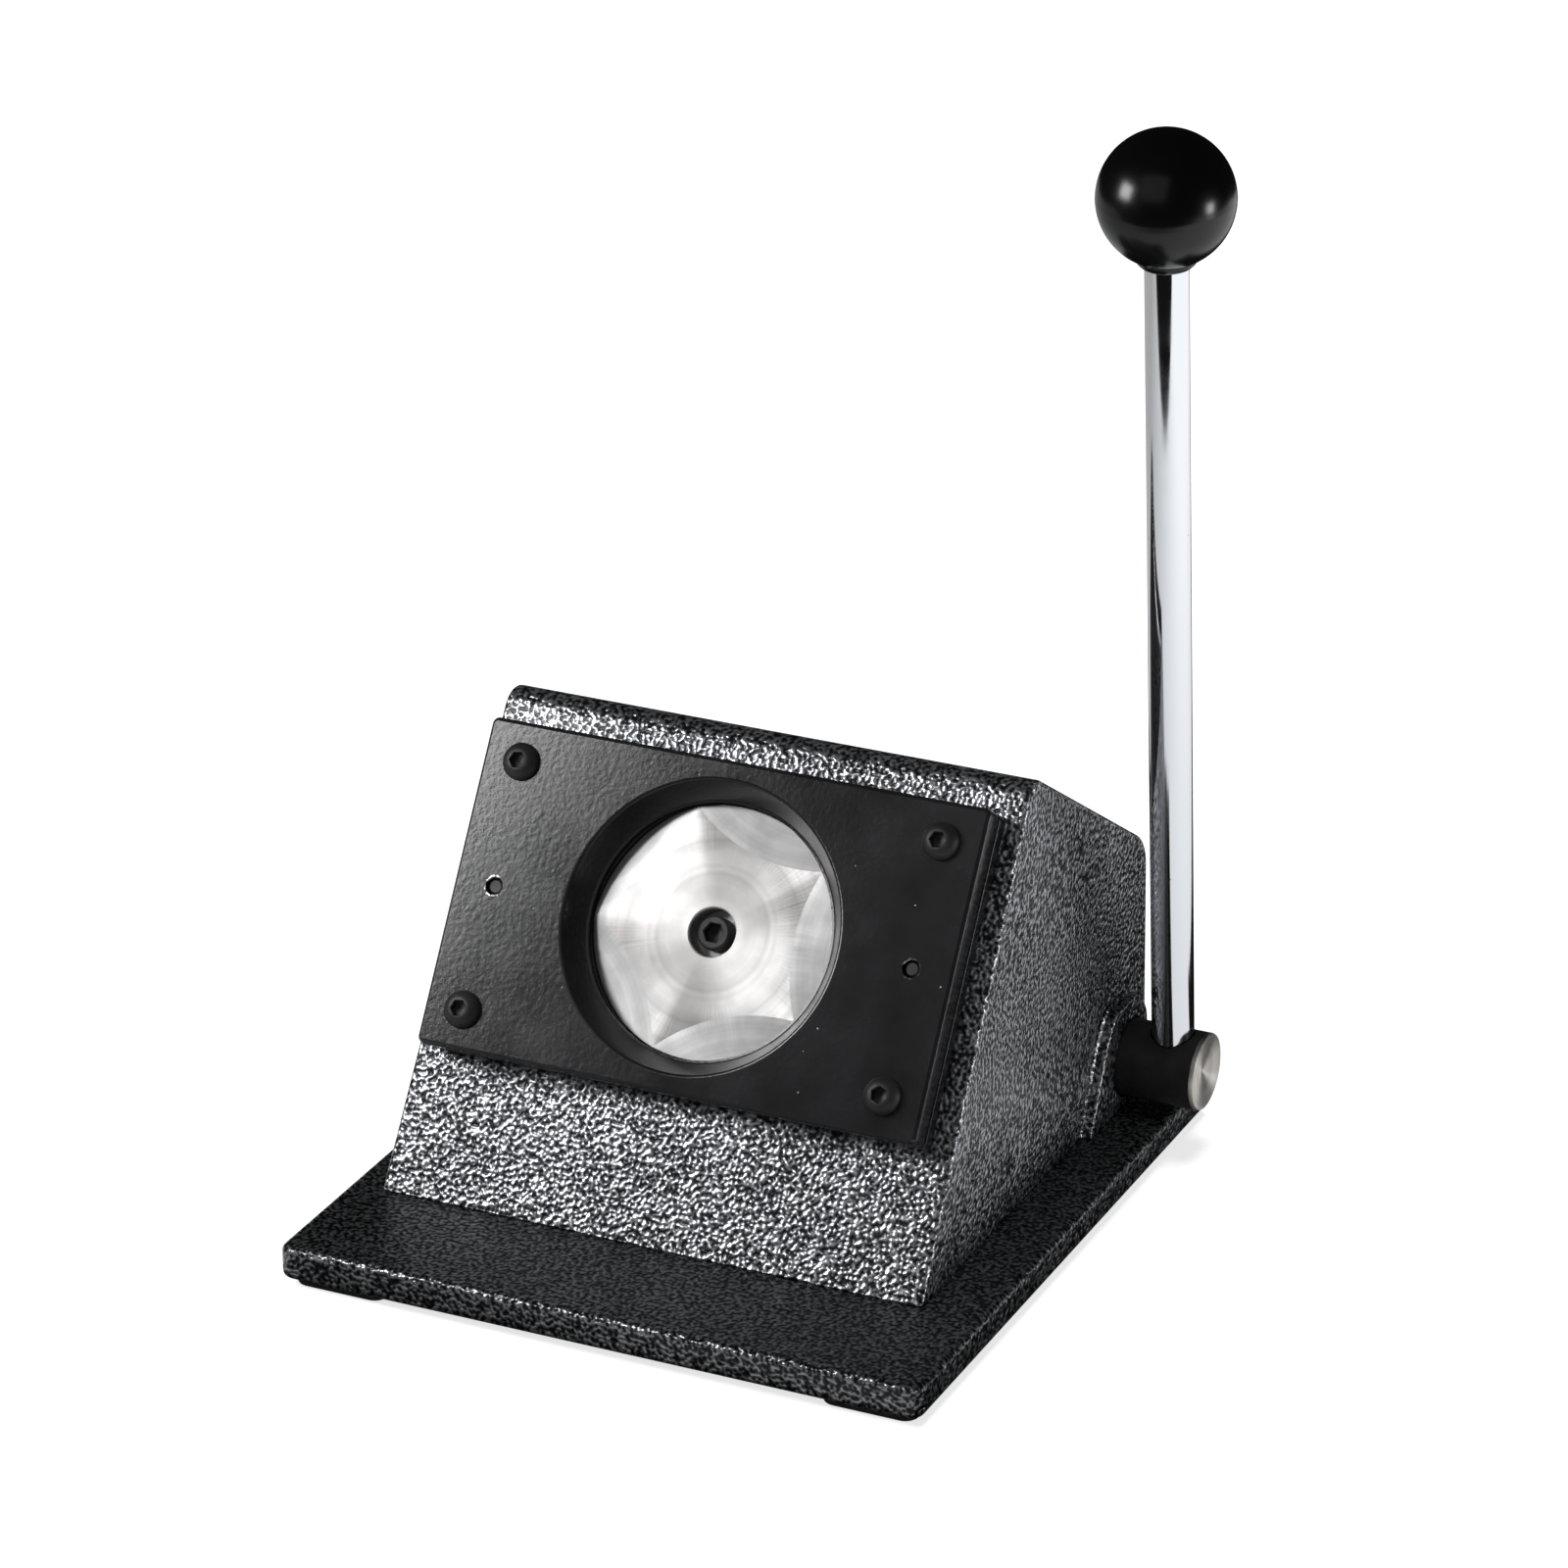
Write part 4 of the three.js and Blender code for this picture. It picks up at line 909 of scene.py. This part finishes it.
def cross_shaft():
    stock = [(0, SHAFT_LEFT), (SHAFT_SMALL - 1, SHAFT_LEFT), (SHAFT_SMALL, SHAFT_LEFT + 1)]
    for x in (OUTER_RING, INNER_RING):
        stock += [(SHAFT_SMALL, x - 0.8), (SHAFT_SMALL - RING_DEEP, x - 0.8),
                  (SHAFT_SMALL - RING_DEEP, x + 0.8), (SHAFT_SMALL, x + 0.8)]
    stock += [(SHAFT_SMALL, SHAFT_STEP), (SHAFT_BIG - 0.5, SHAFT_STEP),
              (SHAFT_BIG, SHAFT_STEP + 0.5), (SHAFT_BIG, SHAFT_RIGHT - SHAFT_END),
              (SHAFT_BIG, SHAFT_RIGHT - 0.7), (SHAFT_BIG - 0.25, SHAFT_RIGHT - 0.2),
              (SHAFT_BIG - 0.8, SHAFT_RIGHT), (SHAFT_BIG - 1.5, SHAFT_RIGHT - 0.12),
              (0, SHAFT_RIGHT - SHAFT_DISH)]
    lever_hole = moved(hole(LEVER_RADIUS + GAP, -9.4, 30, steps=96), SHAFT.inverted() @ LEVER)
    piece = combined("cross_shaft_turned", turned(stock, 128),
                     [lever_hole, through_hub(hole(CAM_PIN + GAP, -40, 40))])
    for polygon in piece.data.polygons:
        if polygon.center.z > SHAFT_RIGHT - SHAFT_END:
            polygon.material_index = 1
    return piece


shaft_steel = turned_steel("faced_shaft_end", SHAFT, pitch=0.5, tone=("bdb8b2", "e6e2dc"))
place(cross_shaft(), SHAFT, "lever", "black_oxide_steel", "cross_shaft",
      finishes=[FINISHES["black_oxide_steel"], shaft_steel])


def cam():
    """The roller's centre climbs evenly with the lever's angle; the cam's edge lies a
    roller's radius inside that path."""
    per_radian = PUNCH_TRAVEL / LEVER_SWING
    lobe = []
    for turn in between(math.radians(-14), LEVER_SWING + math.radians(8), 40):
        centre = Vector((CAM_LOW + ROLLER_RADIUS + per_radian * turn, -SHAFT_DROP))
        inset = Vector((-centre.x, -centre.y - per_radian)).normalized() * ROLLER_RADIUS
        lobe.append(Matrix.Rotation(-turn, 2) @ (centre + inset))
    top = math.atan2(lobe[-1].y, lobe[-1].x) - math.radians(70)
    bottom = math.atan2(lobe[0].y, lobe[0].x) - 2 * math.pi + math.radians(50)
    back = [Vector(polar(CAM_HUB, turn)) for turn in between(top, bottom, 60)]
    plate = stacked((lobe + back)[::-1],
                    rounded_levels(-CAM_THICK / 2, CAM_THICK / 2, 0.4, 0.4, 2))
    hub = rod(CAM_HUB, -CAM_THICK / 2 - CAM_HUB_LONG, CAM_THICK / 2 - 0.5, 0.6, 96)
    piece = combined("cam_ground", plate, [hub], "UNION")
    combined("cam_ground", piece, [hole(SHAFT_SMALL + GAP, -40, 40, steps=96)])
    piece.data.transform(TO_CAM @ CAM_TURN)
    return combined("cam_ground", piece, [through_hub(hole(CAM_PIN + GAP, -40, 40))])


def shaft_bush(side, bore):
    face = HALF_BODY - GAP
    tube = sleeve(bore + GAP, bore + BUSH_WALL, face - BUSH_LONG + 2 * GAP, face)
    return moved(tube, Matrix.Diagonal((1, 1, side, 1)), (0, 0, BODY_FROM_SHAFT))


place(cam(), SHAFT, "lever", "turned_steel", "cam")
left_face = LEFT_WALL - PAD_PROUD
for name, drawing, body, slot, node in (
    ("cam_drive_pin", through_hub(rod(CAM_PIN, -CAM_HUB + 0.5, CAM_HUB - 0.5, 0.3)),
     "lever", "spring_steel", "cam_pin"),
    ("shaft_bush_right_turned", shaft_bush(1, SHAFT_BIG),
     "root", "sintered_bronze", "shaft_bush_right"),
    ("shaft_bush_left_turned", shaft_bush(-1, SHAFT_SMALL),
     "root", "sintered_bronze", "shaft_bush_left"),
    ("thrust_washer_ground", sleeve(SHAFT_SMALL + GAP, SHAFT_SMALL + 4.5, left_face - 1.8,
                                    left_face - GAP, 0.2),
     "lever", "turned_steel", "thrust_washer")):
    place(as_object(name, drawing), SHAFT, body, slot, node)


def snap_ring(name, x):
    """An external snap ring: open at one side, with an eyed lug at each end and its back
    broader than its arms."""
    inner, opening, steps = SHAFT_SMALL - RING_DEEP + GAP, math.radians(24), 96
    lug_turn, lug_out, eye_out = math.radians(26), 3.4, 1.9
    sweep = [opening + (2 * math.pi - 2 * opening) * i / steps for i in range(steps + 1)]

    def reach(turn):
        from_end = min(turn - opening, 2 * math.pi - opening - turn)
        arm = 1.9 + 0.9 * (1 - math.cos(turn)) / 2
        return lug_out if from_end < lug_turn else arm
    outline = [polar(inner + reach(turn), turn) for turn in sweep]
    outline += [polar(inner, turn) for turn in sweep[::-1]]
    ring = stacked(outline, rounded_levels(x - 0.5, x + 0.5, 0.1, 0.1, 1))
    eye_turn = opening + lug_turn / 2
    eyes = [moved(hole(0.7, x - 2, x + 2, steps=24), (*polar(inner + eye_out, turn), 0))
            for turn in (eye_turn, -eye_turn)]
    return combined(name, ring, eyes)


for where, x in (("outer", OUTER_RING), ("inner", INNER_RING)):
    place(snap_ring(f"snap_ring_{where}", x), SHAFT, "lever", "spring_steel",
          f"retaining_ring_{where}")

KNOB_FOOT = -math.sqrt(KNOB_RADIUS ** 2 - KNOB_NECK ** 2)
ROD_END = KNOB_FOOT - KNOB_COLLAR + 1


def lever_rod():
    """The lever's rod: chamfered at its foot, and turned down to a spigot inside the knob."""
    foot, top, tip = -8.6, LEVER_LONG + ROD_END, LEVER_LONG + 4
    r = LEVER_RADIUS
    return as_object("lever_rod_plated", turned([
        (0, foot), (r - 0.6, foot), (r, foot + 0.6), (r, top - 0.4), (r - 0.4, top),
        (SPIGOT_RADIUS, top), (SPIGOT_RADIUS, tip - 0.5), (SPIGOT_RADIUS - 0.5, tip),
        (0, tip)], 128))


def lever_knob():
    """A ball knob with a short collar at its foot and a faint flash line round its middle."""
    flash_high, flash_wide = 0.05, 0.35
    ball = [polar(KNOB_RADIUS + flash_high * math.exp(-(KNOB_RADIUS * turn / flash_wide) ** 2),
                  turn) for turn in between(math.asin(KNOB_FOOT / KNOB_RADIUS), math.pi / 2, 80)]
    ball[-1] = (0, KNOB_RADIUS)
    low = KNOB_FOOT - KNOB_COLLAR
    collar = [(0, low), (COLLAR_FOOT - 0.2, low), (COLLAR_FOOT + 0.2, low + 0.3),
              (COLLAR_FOOT + 0.9, low + 1), (KNOB_NECK - 0.1, KNOB_FOOT - 0.6)]
    return combined("ball_knob_moulded", turned(collar + ball, 128),
                    [hole(KNOB_BORE, low - 3, 5.5)])


KNOB = LEVER @ Matrix.Translation((0, 0, LEVER_LONG))
insert = sleeve(SPIGOT_RADIUS + GAP, KNOB_BORE - GAP, ROD_END + GAP, 5, steps=64)
place(lever_rod(), LEVER, "lever", "chrome_plate", "lever_rod")
place(lever_knob(), KNOB, "lever", "gloss_phenolic", "lever_knob")
place(as_object("knob_insert_turned", insert), KNOB, "lever", "sintered_bronze", "knob_insert")


# ---------------- stage, lights and camera
FLOOR_HALF = 12                 # metres: far wider than the object
LIT_POINT = Vector((0, 0, 0.09))        # where the lamps face: the middle of the object
CARD_TURN = math.radians(6)
CARDS = (                       # metres: left, front, right and back of each glowing patch; the gap behind the machine is a painted shadow
    (-1.2, -0.33, -0.12, 1.2), (-0.12, -0.33, 0.11, -0.12),
    (0.11, -0.33, 1.1, 0.1), (0.2, 0.1, 1.1, 1.2))


def studio_floor():
    """A plain pale floor that glows a little, as a light table does, so that shadows on it
    stay faint."""
    bm = bmesh.new()
    bmesh.ops.create_grid(bm, x_segments=1, y_segments=1, size=FLOOR_HALF)
    floor = as_object("floor", bm)
    floor.data.materials.append(Finish(
        "pale_floor", Base_Color=srgb("c8c8c8"), Roughness=0.9, Specular_IOR_Level=0.1,
        Emission_Color=srgb("fafafa"), Emission_Strength=0.78).material)
    floor.visible_glossy = False


def towards(azimuth, elevation):
    """The direction of something seen at an azimuth and elevation, in degrees."""
    turn, rise = math.radians(azimuth), math.radians(elevation)
    return Vector((math.sin(turn) * math.cos(rise), -math.cos(turn) * math.cos(rise),
                   math.sin(rise)))


def table_top():
    """A glowing card that stands in for the pale table under the machine, seen only as its
    plating and paint mirror it: it ends close in front, has a gap behind the machine as a painted
    shadow, glows brighter to the right as painted light, and has the dark of the room beyond it."""
    bm = bmesh.new()
    for left, front, right, back in CARDS:
        bm.faces.new([bm.verts.new((x, y, 0)) for x, y in
                      ((left, front), (right, front), (right, back), (left, back))])
    top = as_object("table_top", moved(bm, Matrix.Rotation(CARD_TURN, 4, "Z"), (0, 0, -MM)))
    pale = Finish("table_card_painted_light", Base_Color=srgb("000000"), Specular_IOR_Level=0.0,
                  Emission_Color=srgb("f0f1f2"))
    # painted light: the card glows more strongly towards the right
    across = add_node(pale.tree, "ShaderNodeSeparateXYZ", {"Vector": pale.at}).outputs["X"]
    top.data.materials.append(pale.made(
        Emission_Strength=pale.mapped(across, 0.55, 1.4, -0.4, 0.5)))
    top.visible_camera = top.visible_diffuse = top.visible_shadow = False


def add_light(name, kind, azimuth, elevation, distance, power):
    """Hangs a light in a direction from the object and turns it to face the object."""
    light = bpy.data.lights.new(name, kind)
    light.energy = power
    direction = towards(azimuth, elevation)
    lamp = bpy.data.objects.new(name, light)
    lamp.location = LIT_POINT + direction * distance
    lamp.rotation_euler = direction.to_track_quat("Z", "Y").to_euler()
    bpy.context.scene.collection.objects.link(lamp)
    return lamp


def soft_box(name, azimuth, elevation, distance, size, power):
    light = add_light(name, "AREA", azimuth, elevation, distance, power).data
    light.shape, light.size = "SQUARE", size


def overhead(azimuth, elevation, spread, strength):
    """A broad light from far overhead, which leaves the whole floor evenly pale."""
    lamp = add_light("overhead", "SUN", azimuth, elevation, 3, strength)
    lamp.data.angle = math.radians(spread)
    lamp.visible_glossy = False


def studio_air():
    """The dark air of the room, behind which the camera sees the floor's pale tone."""
    world = bpy.data.worlds.new("studio")
    world.use_nodes = True
    tree = world.node_tree
    seen = add_node(tree, "ShaderNodeLightPath").outputs["Is Camera Ray"]
    tone = add_node(tree, "ShaderNodeMix", {
        MIX: seen, MIX_A: srgb("141414"), MIX_B: srgb("fafafa")}, data_type="RGBA")
    tree.links.new(tone.outputs[MIXED], tree.nodes["Background"].inputs["Color"])
    bpy.context.scene.world = world


def add_camera(target, distance, azimuth, elevation, roll, lens):
    turn, tip = math.radians(azimuth), math.radians(roll)
    back = towards(azimuth, elevation)
    right = Vector((math.cos(turn), math.sin(turn), 0))
    up = back.cross(right)
    across = right * math.cos(tip) + up * math.sin(tip)
    upward = up * math.cos(tip) - right * math.sin(tip)
    data = bpy.data.cameras.new("camera")
    data.lens, data.sensor_width, data.clip_end = lens, 36, 100
    camera = bpy.data.objects.new("camera", data)
    camera.matrix_world = Matrix.Translation(Vector(target) + back * distance) @ Matrix(
        (across, upward, back)).transposed().to_4x4()
    bpy.context.scene.collection.objects.link(camera)
    bpy.context.scene.camera = camera


add_camera(target=(-0.0009, 0.0, 0.1263), distance=1.779, azimuth=24.6, elevation=23.52,
           roll=0.31, lens=151.5)
studio_floor()
table_top()
studio_air()
soft_box("key", -49, 32, 0.67, 0.24, 3.2)
soft_box("rim", 98, 5, 1.0, 0.2, 2)
soft_box("front", 4, 42, 1.0, 0.7, 0.6)
overhead(0, 89, 30, 2.2)
bpy.context.scene.view_settings.view_transform = "Standard"
